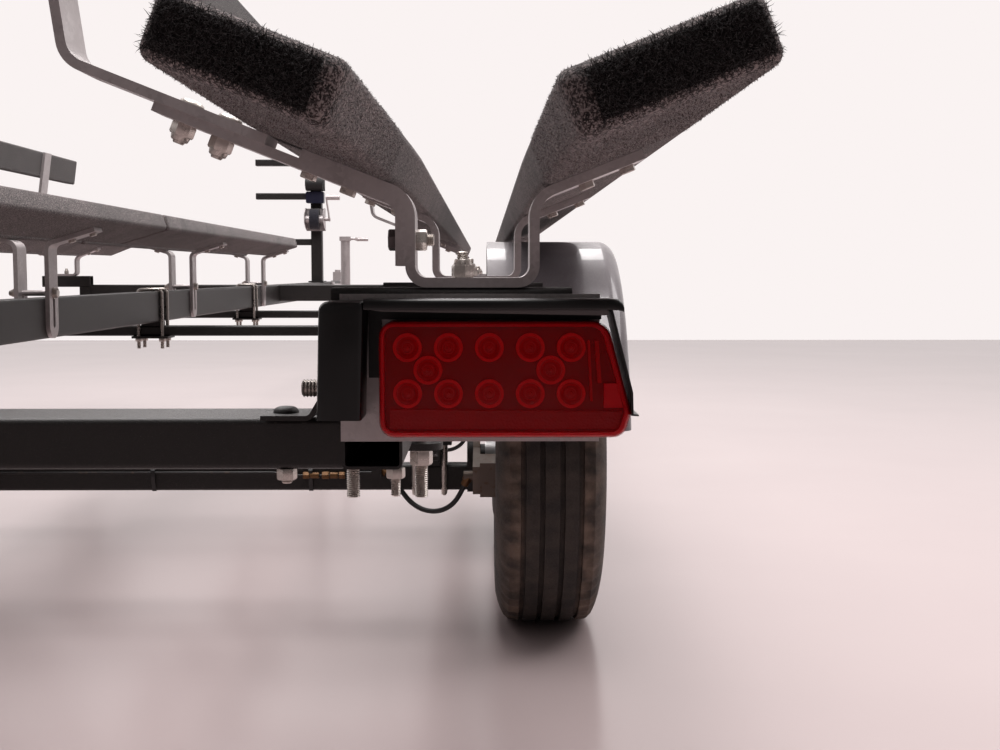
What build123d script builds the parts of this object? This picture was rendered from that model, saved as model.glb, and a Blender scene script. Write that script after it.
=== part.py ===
from build123d import *
from math import atan2, cos, degrees, hypot, pi, radians, sin, tan
import os

os.makedirs("parts", exist_ok=True)

# Tandem-axle bunk trailer for a three-tube pontoon boat, in millimetres.
# X runs to the right, Y forward along the tow direction and Z up from the floor.
# Stations are measured forward from the rear face of the rear cross member.

# Overall length
bunk_overhang = 445
nose_station = 7945
middle_station = (nose_station - bunk_overhang) / 2

# Frame tubes
tube_height = 51
tube_wall = 3
tube_corner = 6
rail_x = 873
rail_width = 60
rail_top = 556.5
rail_rear = 0
rail_front = 4905
cross_depth = 102
low_cross_height = 30
low_cross_shim = 12
low_cross_stations = (2590, 4120)
front_cross_height = 76
spine_width = 58
spine_height = 89
spine_wall = 5
spine_rear = 12
spine_front = 7560

# Wheels, axles and springs
wheel_x = 1106
wheel_radius = 332
tyre_width = 205
tyre_wall = 11
tyre_shoulder_drop = 32
tyre_edge_drop = 14
tyre_bulge = 0.5
rim_seat_radius = 178
rim_flange_radius = 190
rim_half_width = 76
rim_well_radius = 160
rim_metal = 5
bead_gap = 0.3
rear_axle_station = 1340
axle_spacing = 889
axle_size = 50.8
axle_wall = 5
hub_reach = 157
axle_half_length = wheel_x - hub_reach
axle_z = 289
drop_plate = 12
drop_plate_radius = 44
spindle_radius = 22
spindle_reach = 34
spindle_clearance = 0.08
hub_radius = 38
hub_flange_radius = 76
caliper_plate = 14
caliper_hub_gap = 10
caliper_inner_x = axle_half_length + drop_plate + caliper_plate
hub_inner_x = caliper_inner_x + caliper_hub_gap
lug_circle = 114.3
lug_count = 5
lug_nut_radius = 12
lug_nut_height = 22
rotor_radius = 127
rotor_thickness = 12
rotor_offset = 45
rotor_x = hub_inner_x + rotor_offset
running_gap = 6
caliper_angle = 192
caliper_height = 70
hose_radius = 5
hose_route = ((0, 0), (20, -14), (38, -36), (58, -57), (87, -70), (119, -70), (147, -57), (166, -35))
ferrule_radius = 7
ferrule_length = 18
fitting_size = 20
fitting_reach = 164
fitting_face_x = axle_half_length - fitting_reach
banjo_offset = 4
spring_width = 44.5
leaf_thickness = 7
leaf_lengths = (660, 560, 440, 320, 200)
spring_camber = 64
spring_seat = 8
eye_radius = 17
pin_radius = 7
pin_clearance = 0.3
hanger_plate = 5
hanger_side_gap = 1
equalizer_rise = 30
shackle_rise = 50
shackle_lean = 14
shackle_radius = 13
tie_plate_size = 90
tie_plate_height = 10

# Outriggers and bunk brackets
bracket_x = 973
bar_width = 50
bar_thickness = 9.5
arm_angle = 21.5
bracket_base_z = 686
bracket_width = 129
bracket_arm_z = 772.7
bracket_reach = 163.5
upper_bend = 28
lower_bend = 16
outrigger_size = 51
outrigger_wall = 4
outrigger_inner_x = 837
outrigger_outer_x = 1069
bracket_stations = (-3, 640, 2790, 3370, 4815)
guide_arm_stations = (-3, 3370)
strap_foot_z = 706.7
strap_reach = 303
guide_arm_start = 195
guide_arm_corner = 384
guide_arm_top = 1121
guide_arm_lean = 8
guide_arm_width = 64
clamp_plate = 8
clamp_width = 126
clamp_depth = 50
clamp_corner = 20
clamp_station_offset = 220
foot_reach = 248
foot_overlap = 33

# Bunks
board_width = 150
board_thickness = 48
board_corner = 9
board_gap = 0.3
outer_bunk_front = 5320
outboard_bunk_inner_x = 68
inboard_bunk_inner_x = 73
centre_board_width = 136
centre_board_thickness = 42
centre_angle = 17
centre_bunk_joint = 2080
centre_joint_gap = 2
centre_bunk_front = 4400
centre_bunk_inner_x = 45
centre_stations = (220, 1590, 2980, 4330)
centre_arm_z = 762.5
centre_post_bottom = 557
centre_post_width = 57
centre_arm_length = 105
centre_bend = 18
post_slot_width = 14
post_slot_length = 78
post_slot_rise = 62
post_bolt_rise = 4
post_bolt_radius = 6.35

# Fenders
fender_inboard = 117
fender_outboard = 132
fender_inner_x = wheel_x - fender_inboard
fender_outer_x = wheel_x + fender_outboard
fender_gap = 60
fender_metal = 3
fender_edge = 30
fender_foot_z = 430
fender_bar = 38
fender_bar_inset = 99

# Tail lights
light_left_x = 886.5
light_bottom_z = 549.5
light_height = 106
light_width_top = 213
light_width_bottom = 235
light_depth = 50
light_plate_thickness = 6
light_plate_left_x = 846
light_plate_right_x = 1095
light_plate_bottom_z = 538
light_plate_height = 142
guard_metal = 4
guard_bottom_z = 564
guard_box_x = 874
guard_corner = 8
visor_gap = 10
visor_lip = 11
guard_left_x = 829
guard_right_x = 1127
guard_slant = 20
guard_depth = 54
lamp_radius = 13.5
lamp_recess = 3
lamp_pitch = 38
lamp_row_pitch = 42
lamp_first = 26.5
lamp_middle = 60.5
lamp_columns = 5

# Guide boards on the upturned ends of the guide arms
guide_board_height = 89
guide_board_thickness = 38
guide_board_corner = 6
guide_board_front = 3720

# Winch stand
winch_stand_station = 6400
winch_post = 64
winch_post_top = 1390
winch_foot_length = 160
step_length = 350
step_height = 36
step_depth = 62
step_heights = (880, 1146, 1340)
winch_z = 1010
winch_width = 112
winch_plate = 4
drum_radius = 44
drum_core = 22
crank_length = 190
crank_angle = 142
crank_grip = 76
bow_stop_z = 1215
bow_stop_radius = 40

# Coupler and tongue jack
actuator_start = 7330
actuator_end = 7720
actuator_wall = 5
actuator_clearance = 0.3
slide_end = 7850
coupler_bore = 30
coupler_bore_length = 36
coupler_wall = 9
coupler_mouth_z = 560
reservoir_height = 56
jack_station = 6900
jack_x = 112
jack_tube_radius = 29
jack_leg_radius = 24
jack_leg_clearance = 0.3
jack_tube_bottom = 395
jack_tube_top = 900
jack_travel = 380
jack_foot_radius = 55
jack_foot_plate = 8
jack_pivot_radius = 20
jack_collar_wall = 12


def along(station):
    """Y of a station, with the origin at the middle of the overall length."""
    return station - middle_station


def cross_plane(station):
    """Plane across the trailer: X to the right, Z up, normal to the rear."""
    return Plane.XZ.offset(-along(station))


def side_plane(x):
    """Plane along the trailer: Y forward, Z up, normal to the right."""
    return Plane.YZ.offset(x)


def floor_plane(z):
    """Level plane at height z."""
    return Plane.XY.offset(z)


def write(piece, label):
    """Labels one finished piece and writes its STEP file."""
    piece.part.label = label
    export_step(piece.part, f"parts/{label}.step")


def write_pair(piece, label):
    """Writes a right-hand piece and its mirror image on the left."""
    write(piece, f"{label}_right")
    with BuildPart() as twin:
        mirror(piece.part, about=Plane.YZ)
    write(twin, f"{label}_left")


def tube_forward(x, z, width, height, start, end, wall=tube_wall):
    """Adds a rectangular tube that runs forward, centred on x and z."""
    with BuildSketch(cross_plane(start)) as profile:
        with Locations((x, z)):
            RectangleRounded(width, height, tube_corner)
            RectangleRounded(width - 2 * wall, height - 2 * wall, tube_corner - wall, mode=Mode.SUBTRACT)
    extrude(profile.sketch, amount=start - end)


def tube_across(y, z, depth, height, start, end, wall=tube_wall):
    """Adds a rectangular tube that runs to the right, centred on y and z."""
    with BuildSketch(side_plane(start)) as profile:
        with Locations((y, z)):
            RectangleRounded(depth, height, tube_corner)
            RectangleRounded(depth - 2 * wall, height - 2 * wall, tube_corner - wall, mode=Mode.SUBTRACT)
    extrude(profile.sketch, amount=end - start)


def tube_up(x, y, width, depth, bottom, top, wall=tube_wall):
    """Adds an upright rectangular tube centred on x and y."""
    with BuildSketch(floor_plane(bottom)) as profile:
        with Locations((x, y)):
            RectangleRounded(width, depth, tube_corner)
            RectangleRounded(width - 2 * wall, depth - 2 * wall, tube_corner - wall, mode=Mode.SUBTRACT)
    extrude(profile.sketch, amount=top - bottom)


def block(x, y, z, width, depth, height, corner=0.0):
    """Adds a block from its lowest corner and its sizes, with its upright edges rounded."""
    with BuildSketch(floor_plane(z)) as profile:
        with Locations((x + width / 2, y + depth / 2)):
            if corner:
                RectangleRounded(width, depth, corner)
            else:
                Rectangle(width, depth)
    extrude(profile.sketch, amount=height)


def bent_bar(points, radii, station, thickness=bar_thickness, width=bar_width):
    """Adds a flat bar bent along points in X and Z, width deep, centred on a station."""
    with BuildSketch(cross_plane(station + width / 2)) as profile:
        with BuildLine() as centre_line:
            FilletPolyline(*points, radius=radii)
        trace(centre_line.line, line_width=thickness)
    extrude(profile.sketch, amount=width)


# Side rails: open-ended tubes, each with the spring hangers welded underneath
rail_z = rail_top - tube_height / 2
rail_bottom = rail_top - tube_height
rail_inner_x = rail_x - rail_width / 2
rail_outer_x = rail_x + rail_width / 2
half_spring = leaf_lengths[0] / 2
front_axle_station = rear_axle_station + axle_spacing
equalizer_station = rear_axle_station + axle_spacing / 2
axle_stations = {"rear": rear_axle_station, "front": front_axle_station}
seat_top = axle_z + axle_size / 2 + spring_seat
main_leaf_z = seat_top + (len(leaf_lengths) - 0.5) * leaf_thickness
eye_z = main_leaf_z + spring_camber + eye_radius - leaf_thickness / 2
hanger_x = spring_width / 2 + hanger_side_gap + hanger_plate / 2
hanger_half_length = 52
hangers = (
    (rear_axle_station - half_spring, eye_z),
    (equalizer_station, eye_z + equalizer_rise),
    (front_axle_station + half_spring, eye_z),
)

with BuildPart() as side_rail:
    tube_forward(rail_x, rail_z, rail_width, tube_height, rail_rear, rail_front)
    for station, pin_z in hangers:
        for side in (-1, 1):
            with BuildSketch(side_plane(rail_x + side * hanger_x - hanger_plate / 2)):
                with BuildLine():
                    Polyline(
                        (along(station) - hanger_half_length, rail_bottom + tube_wall / 2),
                        (along(station) - eye_radius, pin_z),
                        (along(station) + eye_radius, pin_z),
                        (along(station) + hanger_half_length, rail_bottom + tube_wall / 2),
                        close=True,
                    )
                make_face()
                with Locations((along(station), pin_z)):
                    Circle(eye_radius)
            extrude(amount=hanger_plate)
        with BuildSketch(side_plane(rail_x - hanger_x - hanger_plate)):
            with Locations((along(station), pin_z)):
                Circle(pin_radius)
        extrude(amount=2 * (hanger_x + hanger_plate))
write_pair(side_rail, "side_rail")

# Cross members: the wide one closes the rear, the two low ones pass under the spine
with BuildPart() as rear_cross_member:
    tube_across(along(cross_depth / 2), rail_z, cross_depth, tube_height, -rail_inner_x, rail_inner_x)
write(rear_cross_member, "rear_cross_member")

low_cross_z = rail_top - low_cross_shim - low_cross_height / 2
for name, station in zip(("middle", "forward"), low_cross_stations):
    with BuildPart() as low_cross:
        tube_across(along(station), low_cross_z, tube_height, low_cross_height, -rail_inner_x, rail_inner_x)
        block(-spine_width / 2, along(station) - tube_height / 2, rail_top - low_cross_shim,
              spine_width, tube_height, low_cross_shim)
    write(low_cross, f"{name}_cross_member")

# Spine from the rear cross member to the coupler
spine_z = rail_top + spine_height / 2
spine_top = rail_top + spine_height
with BuildPart() as spine:
    tube_forward(0, spine_z, spine_width, spine_height, spine_rear, spine_front, wall=spine_wall)
write(spine, "spine")

# Front cross member in two halves, welded between the spine and the front risers
front_station = bracket_stations[-1]
front_cross_z = spine_top - front_cross_height / 2
riser_inner_x = rail_x - outrigger_size / 2
with BuildPart() as front_cross_member:
    tube_across(along(front_station), front_cross_z, tube_height, front_cross_height, spine_width / 2,
                riser_inner_x)
    mirror(about=Plane.YZ)
write(front_cross_member, "front_cross_member")

# Outriggers: riser, top bar and foot plate at each bracket station
outrigger_z = bracket_base_z - outrigger_size / 2
outrigger_bottom = bracket_base_z - outrigger_size
with BuildPart() as outriggers:
    for station in bracket_stations:
        y = along(station)
        if station == front_station:
            side, foot_start, foot_end = -1, y - foot_reach, y + foot_overlap
        else:
            rear_limit = along(bracket_stations[0]) - outrigger_size / 2
            side, foot_start, foot_end = 1, max(y - foot_overlap, rear_limit), y + foot_reach
        block(rail_inner_x, foot_start, rail_top, rail_width, foot_end - foot_start, clamp_plate)
        tube_up(rail_x, y, outrigger_size, outrigger_size, rail_top + clamp_plate, outrigger_bottom,
                wall=outrigger_wall)
        inner_x = riser_inner_x if station == front_station else outrigger_inner_x
        tube_across(y, outrigger_z, outrigger_size, outrigger_size, inner_x, outrigger_outer_x,
                    wall=outrigger_wall)
        block(rail_x - clamp_width / 2, y + side * clamp_station_offset - clamp_depth / 2,
              rail_bottom - clamp_plate, clamp_width, clamp_depth, clamp_plate, corner=clamp_corner)
write_pair(outriggers, "outriggers")

# Strap braces from the rear cross member up to the risers
strap_metal = 5
strap_width = 38
with BuildPart() as corner_strap:
    strap_z = rail_top + strap_metal / 2
    bent_bar(
        ((riser_inner_x - 81, strap_z), (riser_inner_x - 33, strap_z),
         (riser_inner_x - strap_metal / 2, strap_z + 52), (riser_inner_x - strap_metal / 2, outrigger_bottom)),
        (8, 8), bracket_stations[0], thickness=strap_metal, width=strap_width)
write_pair(corner_strap, "corner_strap")

# U brackets with arms that slope out under the bunks
rise = tan(radians(arm_angle))
leg_x = (bracket_width - bar_thickness) / 2
base_z = bracket_base_z + bar_thickness / 2
arm_end_z = bracket_arm_z + (bracket_reach - leg_x) * rise
arm_offset = bar_thickness / cos(radians(arm_angle))
outer_leg_x = leg_x + bar_thickness
lower_arm_z = bracket_arm_z - arm_offset - bar_thickness * rise
with BuildPart() as u_brackets:
    for station in bracket_stations:
        bent_bar(
            ((bracket_x - bracket_reach, arm_end_z), (bracket_x - leg_x, bracket_arm_z),
             (bracket_x - leg_x, base_z), (bracket_x + leg_x, base_z),
             (bracket_x + leg_x, bracket_arm_z), (bracket_x + bracket_reach, arm_end_z)),
            (upper_bend, lower_bend, lower_bend, upper_bend), station)
write_pair(u_brackets, "u_brackets")

# Inboard support arms bolted outside the inboard leg, and the guide arms on top of them
strap_end_z = bracket_arm_z - arm_offset + (strap_reach - leg_x) * rise
guide_start_z = bracket_arm_z + (guide_arm_start - leg_x) * rise
guide_corner_z = bracket_arm_z + (guide_arm_corner - leg_x) * rise
lean = radians(guide_arm_lean)
guide_top_x = bracket_x - guide_arm_corner - (guide_arm_top - guide_corner_z) * tan(lean)
with BuildPart() as guide_arms:
    for station in guide_arm_stations:
        bent_bar(
            ((bracket_x - strap_reach, strap_end_z),
             (bracket_x - outer_leg_x, bracket_arm_z - arm_offset + bar_thickness * rise),
             (bracket_x - outer_leg_x, strap_foot_z)),
            (upper_bend - bar_thickness,), station)
        bent_bar(
            ((bracket_x - guide_arm_start, guide_start_z), (bracket_x - guide_arm_corner, guide_corner_z),
             (guide_top_x, guide_arm_top)),
            (upper_bend,), station, width=guide_arm_width)
write_pair(guide_arms, "guide_arms")

# Guide boards, level with the top of the guide arms and leaning with them
board_reach = (guide_arm_top - guide_corner_z) / cos(lean) - guide_board_height / 2
board_offset = (bar_thickness + guide_board_thickness) / 2 + board_gap
guide_board_x = bracket_x - guide_arm_corner - board_reach * sin(lean) + board_offset * cos(lean)
guide_board_z = guide_corner_z + board_reach * cos(lean) + board_offset * sin(lean)
with BuildPart() as guide_board:
    with BuildSketch(cross_plane(-bunk_overhang)):
        with Locations(Location((guide_board_x, guide_board_z, 0), (0, 0, guide_arm_lean))):
            RectangleRounded(guide_board_thickness, guide_board_height, guide_board_corner)
    extrude(amount=-bunk_overhang - guide_board_front)
write_pair(guide_board, "guide_board")

# Bunk boards
for name, side, inner_x in (("inboard", -1, inboard_bunk_inner_x), ("outboard", 1, outboard_bunk_inner_x)):
    with BuildPart() as outer_bunk:
        bottom = bracket_arm_z + (inner_x - leg_x) * rise + arm_offset / 2 + board_gap
        with BuildSketch(cross_plane(-bunk_overhang)):
            with Locations(Location((bracket_x + side * inner_x, bottom, 0), (0, 0, side * arm_angle))):
                align = (Align.MIN if side > 0 else Align.MAX, Align.MIN)
                RectangleRounded(board_width, board_thickness, board_corner, align=align)
        extrude(amount=-bunk_overhang - outer_bunk_front)
    write_pair(outer_bunk, f"{name}_bunk")

post_x = (spine_width + bar_thickness) / 2
centre_rise = tan(radians(centre_angle))
centre_runs = ((-bunk_overhang, centre_bunk_joint), (centre_bunk_joint + centre_joint_gap, centre_bunk_front))
with BuildPart() as centre_bunk:
    bottom = (centre_arm_z + (centre_bunk_inner_x - post_x) * centre_rise
              + bar_thickness / 2 / cos(radians(centre_angle)) + board_gap)
    for start, end in centre_runs:
        with BuildSketch(cross_plane(start)):
            with Locations(Location((centre_bunk_inner_x, bottom, 0), (0, 0, centre_angle))):
                RectangleRounded(centre_board_width, centre_board_thickness, board_corner,
                                 align=(Align.MIN, Align.MIN))
        extrude(amount=start - end)
write_pair(centre_bunk, "centre_bunk")

# Centre brackets: slotted posts with rounded lower ends, bolted to both sides of the spine
centre_arm_end_z = centre_arm_z + centre_arm_length * centre_rise
slot_z = centre_post_bottom + post_slot_rise
post_end = centre_post_width / 2
with BuildPart() as centre_brackets:
    for station in centre_stations:
        y = along(station)
        for side in (-1, 1):
            bent_bar(
                ((side * post_x, centre_post_bottom), (side * post_x, centre_arm_z),
                 (side * (post_x + centre_arm_length), centre_arm_end_z)),
                (centre_bend,), station, width=centre_post_width)
        with BuildSketch(side_plane(-post_x - bar_thickness)):
            with Locations((y, centre_post_bottom)):
                Rectangle(centre_post_width, post_end, align=(Align.CENTER, Align.MIN))
            with Locations((y, centre_post_bottom + post_end)):
                Circle(post_end, mode=Mode.SUBTRACT)
            with Locations((y, slot_z)):
                SlotOverall(post_slot_length, post_slot_width, rotation=90)
        extrude(amount=2 * (post_x + bar_thickness), mode=Mode.SUBTRACT)
        with BuildSketch(side_plane(-post_x - bar_thickness)):
            with Locations((y, spine_top + post_bolt_radius + post_bolt_rise)):
                Circle(post_bolt_radius)
        extrude(amount=2 * (post_x + bar_thickness))
write(centre_brackets, "centre_brackets")

# Routes of the brake hoses, each in an upright plane from a fitting on the axle to a caliper
banjo_angle = radians(caliper_angle)
caliper_radius = rotor_radius - 9
hose_routes = {}
for name, station in axle_stations.items():
    start = Vector(fitting_face_x, along(station) - (axle_size + fitting_size) / 2, axle_z + 12)
    banjo = Vector(
        axle_half_length + banjo_offset, along(station) + caliper_radius * cos(banjo_angle),
        wheel_radius + caliper_radius * sin(banjo_angle))
    reach = banjo - start
    flat = Vector(reach.X, reach.Y, 0).normalized()
    route_plane = Plane(origin=start, x_dir=flat, z_dir=Vector(flat.Y, -flat.X, 0))
    last = Vector(*hose_route[-1])
    target = Vector(hypot(reach.X, reach.Y), reach.Z)
    finish = target - (target - last).normalized() * ferrule_length
    points = [Vector(*point) for point in hose_route] + [finish]
    radii = []
    for before, corner, after in zip(points, points[1:], points[2:]):
        turn = radians((corner - before).get_angle(after - corner))
        radii.append(0.45 * min((corner - before).length, (after - corner).length) / tan(turn / 2))
    hose_routes[name] = (route_plane, [(point.X, point.Y) for point in points], radii)


def ferrule(route_plane, end, beyond):
    """Adds the metal end of a hose: from the route's end point away from the hose."""
    from_point = route_plane.from_local_coords(Vector(*end))
    away = from_point - route_plane.from_local_coords(Vector(*beyond))
    with BuildSketch(Plane(origin=from_point, z_dir=away)) as profile:
        Circle(ferrule_radius)
    extrude(profile.sketch, amount=ferrule_length)


# Axles: square tube, spring seats, drop plates, spindles and the brake line fittings
axle_top = axle_z + axle_size / 2
spindle_end_x = wheel_x + spindle_reach
for name, station in axle_stations.items():
    y = along(station)
    with BuildPart() as axle:
        tube_across(y, axle_z, axle_size, axle_size, -axle_half_length, axle_half_length, wall=axle_wall)
        block(rail_x - spring_width / 2, y - 40, axle_top, spring_width, 80, spring_seat)
        with BuildSketch(side_plane(axle_half_length)):
            with Locations((y, wheel_radius)):
                Circle(drop_plate_radius)
            with Locations((y, wheel_radius)):
                Rectangle(2 * drop_plate_radius, wheel_radius - axle_z + axle_size / 2,
                          align=(Align.CENTER, Align.MAX))
        extrude(amount=drop_plate)
        with BuildSketch(side_plane(axle_half_length + drop_plate)):
            with Locations((y, wheel_radius)):
                Circle(spindle_radius)
        extrude(amount=spindle_end_x - axle_half_length - drop_plate)
        route_plane, points, radii = hose_routes[name]
        ferrule(route_plane, points[0], points[1])
        block(fitting_face_x - fitting_size - ferrule_radius, y - axle_size / 2 - fitting_size,
              axle_z + 12 - fitting_size / 2, fitting_size, fitting_size, fitting_size)
        mirror(about=Plane.YZ)
    write(axle, f"{name}_axle")

# Leaf springs over the axles, hung from the equalizer between them by shackles
leaf_radius = (half_spring ** 2 + spring_camber ** 2) / (2 * spring_camber)
arc_z = main_leaf_z + leaf_radius
equalizer_z = eye_z + equalizer_rise
equalizer_y = along(equalizer_station)
pivot_boss = eye_radius + 4
shackle_z = eye_z + shackle_rise
spring_end_y = axle_spacing / 2 - half_spring
shackle_y = spring_end_y - shackle_lean
with BuildPart() as springs:
    for station in axle_stations.values():
        y = along(station)
        for number, length in enumerate(leaf_lengths):
            inner = leaf_radius + (number - 0.5) * leaf_thickness
            with BuildSketch(side_plane(rail_x - spring_width / 2)):
                with Locations((y, arc_z)):
                    Circle(inner + leaf_thickness)
                    Circle(inner, mode=Mode.SUBTRACT)
                with Locations((y, main_leaf_z)):
                    Rectangle(length, 3 * spring_camber, mode=Mode.INTERSECT)
            extrude(amount=spring_width)
        for end in (-1, 1):
            with BuildSketch(side_plane(rail_x - spring_width / 2)):
                with Locations((y + end * half_spring, eye_z)):
                    Circle(eye_radius)
            extrude(amount=spring_width)
        block(rail_x - tie_plate_size / 2, y - tie_plate_size / 2, main_leaf_z + leaf_thickness / 2,
              tie_plate_size, tie_plate_size, tie_plate_height)
    for station, pin_z in hangers:
        if pin_z == eye_z:
            with BuildSketch(side_plane(rail_x - spring_width)):
                with Locations((along(station), pin_z)):
                    Circle(pin_radius + pin_clearance)
            extrude(amount=2 * spring_width, mode=Mode.SUBTRACT)
    with BuildSketch(side_plane(rail_x - spring_width / 2)):
        with Locations((equalizer_y, equalizer_z)):
            Circle(pivot_boss)
        with Locations((equalizer_y - shackle_y, shackle_z), (equalizer_y + shackle_y, shackle_z)):
            Circle(shackle_radius)
        with BuildLine():
            Polyline(
                (equalizer_y - shackle_y, shackle_z - shackle_radius),
                (equalizer_y - shackle_y, shackle_z + shackle_radius), (equalizer_y, equalizer_z + pivot_boss),
                (equalizer_y + shackle_y, shackle_z + shackle_radius),
                (equalizer_y + shackle_y, shackle_z - shackle_radius), (equalizer_y, equalizer_z - pivot_boss),
                close=True)
        make_face()
    extrude(amount=spring_width)
    with BuildSketch(side_plane(rail_x - spring_width)):
        with Locations((equalizer_y, equalizer_z)):
            Circle(pin_radius + pin_clearance)
    extrude(amount=2 * spring_width, mode=Mode.SUBTRACT)
    for end in (-1, 1):
        tilt = degrees(atan2(shackle_rise, -end * shackle_lean))
        middle = (equalizer_y + end * (spring_end_y + shackle_y) / 2, (eye_z + shackle_z) / 2)
        for side in (-1, 1):
            with BuildSketch(side_plane(rail_x + side * hanger_x - hanger_plate / 2)) as strap:
                with Locations(Location((*middle, 0), (0, 0, tilt))):
                    SlotCenterToCenter(hypot(shackle_rise, shackle_lean), 2 * shackle_radius)
            extrude(strap.sketch, amount=hanger_plate)
        for pin_y, pin_z in ((end * spring_end_y, eye_z), (end * shackle_y, shackle_z)):
            with BuildSketch(side_plane(rail_x - hanger_x - hanger_plate)) as pin:
                with Locations((equalizer_y + pin_y, pin_z)):
                    Circle(pin_radius)
            extrude(pin.sketch, amount=2 * (hanger_x + hanger_plate))
write_pair(springs, "springs")

# Wheels: hub, brake rotor and pressed rim in one piece, turning on the spindle
hub_flange = 12
well_left = -38
well_right = 10
for name, station in axle_stations.items():
    y = along(station)
    with BuildPart() as wheel:
        with BuildSketch(cross_plane(station)):
            with BuildLine() as rim_line:
                Polyline(
                    (wheel_x - rim_half_width - 6, rim_flange_radius + wheel_radius),
                    (wheel_x - rim_half_width, rim_flange_radius + wheel_radius),
                    (wheel_x - rim_half_width + 5, rim_seat_radius + wheel_radius),
                    (wheel_x + well_left - 10, rim_seat_radius + wheel_radius),
                    (wheel_x + well_left, rim_well_radius + wheel_radius),
                    (wheel_x + well_right, rim_well_radius + wheel_radius),
                    (wheel_x + well_right + 10, rim_seat_radius + wheel_radius),
                    (wheel_x + rim_half_width - 5, rim_seat_radius + wheel_radius),
                    (wheel_x + rim_half_width, rim_flange_radius + wheel_radius),
                    (wheel_x + rim_half_width + 6, rim_flange_radius + wheel_radius))
            trace(rim_line.line, line_width=rim_metal)
            with BuildLine():
                Polyline(
                    (hub_inner_x, wheel_radius + spindle_radius + spindle_clearance),
                    (hub_inner_x, wheel_radius + hub_radius),
                    (rotor_x - rotor_thickness / 2, wheel_radius + hub_radius),
                    (rotor_x - rotor_thickness / 2, wheel_radius + rotor_radius),
                    (rotor_x + rotor_thickness / 2, wheel_radius + rotor_radius),
                    (rotor_x + rotor_thickness / 2, wheel_radius + hub_radius),
                    (wheel_x - hub_flange, wheel_radius + hub_radius),
                    (wheel_x - hub_flange, wheel_radius + hub_flange_radius),
                    (wheel_x, wheel_radius + hub_flange_radius),
                    (wheel_x, wheel_radius + rim_well_radius),
                    (wheel_x + rim_metal, wheel_radius + rim_well_radius),
                    (wheel_x + rim_metal, wheel_radius + hub_radius),
                    (wheel_x + 44, wheel_radius + hub_radius - 4),
                    (wheel_x + 58, wheel_radius + hub_radius - 14),
                    (wheel_x + 58, wheel_radius),
                    (spindle_end_x + 2, wheel_radius),
                    (spindle_end_x + 2, wheel_radius + spindle_radius + spindle_clearance),
                    close=True)
            make_face()
        revolve(axis=Axis((0, y, wheel_radius), (1, 0, 0)))
        with BuildSketch(side_plane(wheel_x - 1)):
            with Locations((y, wheel_radius)):
                with PolarLocations(112, lug_count, start_angle=126):
                    Trapezoid(62, 44, 74, rotation=90)
            fillet(vertices(), 10)
        extrude(amount=rim_metal + 2, mode=Mode.SUBTRACT)
        with BuildSketch(side_plane(wheel_x + rim_metal)):
            with Locations((y, wheel_radius)):
                with PolarLocations(lug_circle / 2, lug_count, start_angle=90):
                    RegularPolygon(lug_nut_radius, 6)
        extrude(amount=lug_nut_height)
    write_pair(wheel, f"{name}_wheel")

    # Tyre on the rim's bead seats, hollow inside
    half = tyre_width / 2
    seat = wheel_radius + rim_seat_radius + rim_metal / 2 + bead_gap
    tread = 2 * wheel_radius
    bulge_z = seat + tyre_bulge * (tread - seat)
    with BuildPart() as tyre:
        with BuildSketch(cross_plane(station)):
            with BuildLine():
                a = Line((wheel_x, tread - tyre_wall), (wheel_x + half - 26, tread - tyre_wall - 3))
                b = ThreePointArc(a @ 1, (wheel_x + half - tyre_wall, bulge_z + tyre_wall),
                                  (wheel_x + rim_half_width - 20, seat + 16))
                c = Polyline(b @ 1, (wheel_x + rim_half_width - 26, seat), (wheel_x + rim_half_width - 7, seat),
                             (wheel_x + rim_half_width - 5, seat + 17))
                d = ThreePointArc(c @ 1, (wheel_x + half, bulge_z),
                                  (wheel_x + half - 7, tread - tyre_shoulder_drop))
                e = ThreePointArc(d @ 1, (wheel_x + half - 13, tread - tyre_edge_drop),
                                  (wheel_x + half - 26, tread - 5))
                Line(e @ 1, (wheel_x, tread))
                Line((wheel_x, tread), (wheel_x, tread - tyre_wall))
            make_face()
            mirror(about=Plane.YZ.offset(wheel_x))
        revolve(axis=Axis((0, y, wheel_radius), (1, 0, 0)))
    write_pair(tyre, f"{name}_tyre")

# Disc calipers behind the axles, each on a bracket plate round the spindle
caliper_width = 56
pad_side = rotor_thickness / 2 + running_gap
banjo_radius = 9
with BuildPart() as calipers:
    for name, station in axle_stations.items():
        y = along(station)
        with BuildSketch(side_plane(axle_half_length + drop_plate)):
            with Locations((y, wheel_radius)):
                Circle(drop_plate_radius)
            with Locations(Location((y, wheel_radius, 0), (0, 0, caliper_angle))):
                Rectangle(caliper_radius + caliper_width / 2, caliper_width, align=(Align.MIN, Align.CENTER))
            with Locations((y, wheel_radius)):
                Circle(spindle_radius + 1, mode=Mode.SUBTRACT)
        extrude(amount=caliper_inner_x - axle_half_length - drop_plate)
        cheeks = (
            (caliper_inner_x, rotor_x - pad_side, caliper_radius - 26, caliper_radius + 26),
            (caliper_inner_x, rotor_x + pad_side + 18, rotor_radius + running_gap, caliper_radius + 26),
            (rotor_x + pad_side, rotor_x + pad_side + 18, caliper_radius - 26, caliper_radius + 26),
        )
        for start, end, low, high in cheeks:
            with BuildSketch(side_plane(start)) as cheek:
                with Locations(Location((y, wheel_radius, 0), (0, 0, caliper_angle))):
                    with Locations((low, 0)):
                        Rectangle(high - low, caliper_height, align=(Align.MIN, Align.CENTER))
            extrude(cheek.sketch, amount=end - start)
        with BuildSketch(side_plane(axle_half_length - 6)):
            with Locations((y + caliper_radius * cos(radians(caliper_angle)),
                            wheel_radius + caliper_radius * sin(radians(caliper_angle)))):
                Circle(banjo_radius)
        extrude(amount=drop_plate + 6)
        route_plane, points, radii = hose_routes[name]
        ferrule(route_plane, points[-1], points[-2])
write_pair(calipers, "calipers")

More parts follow.
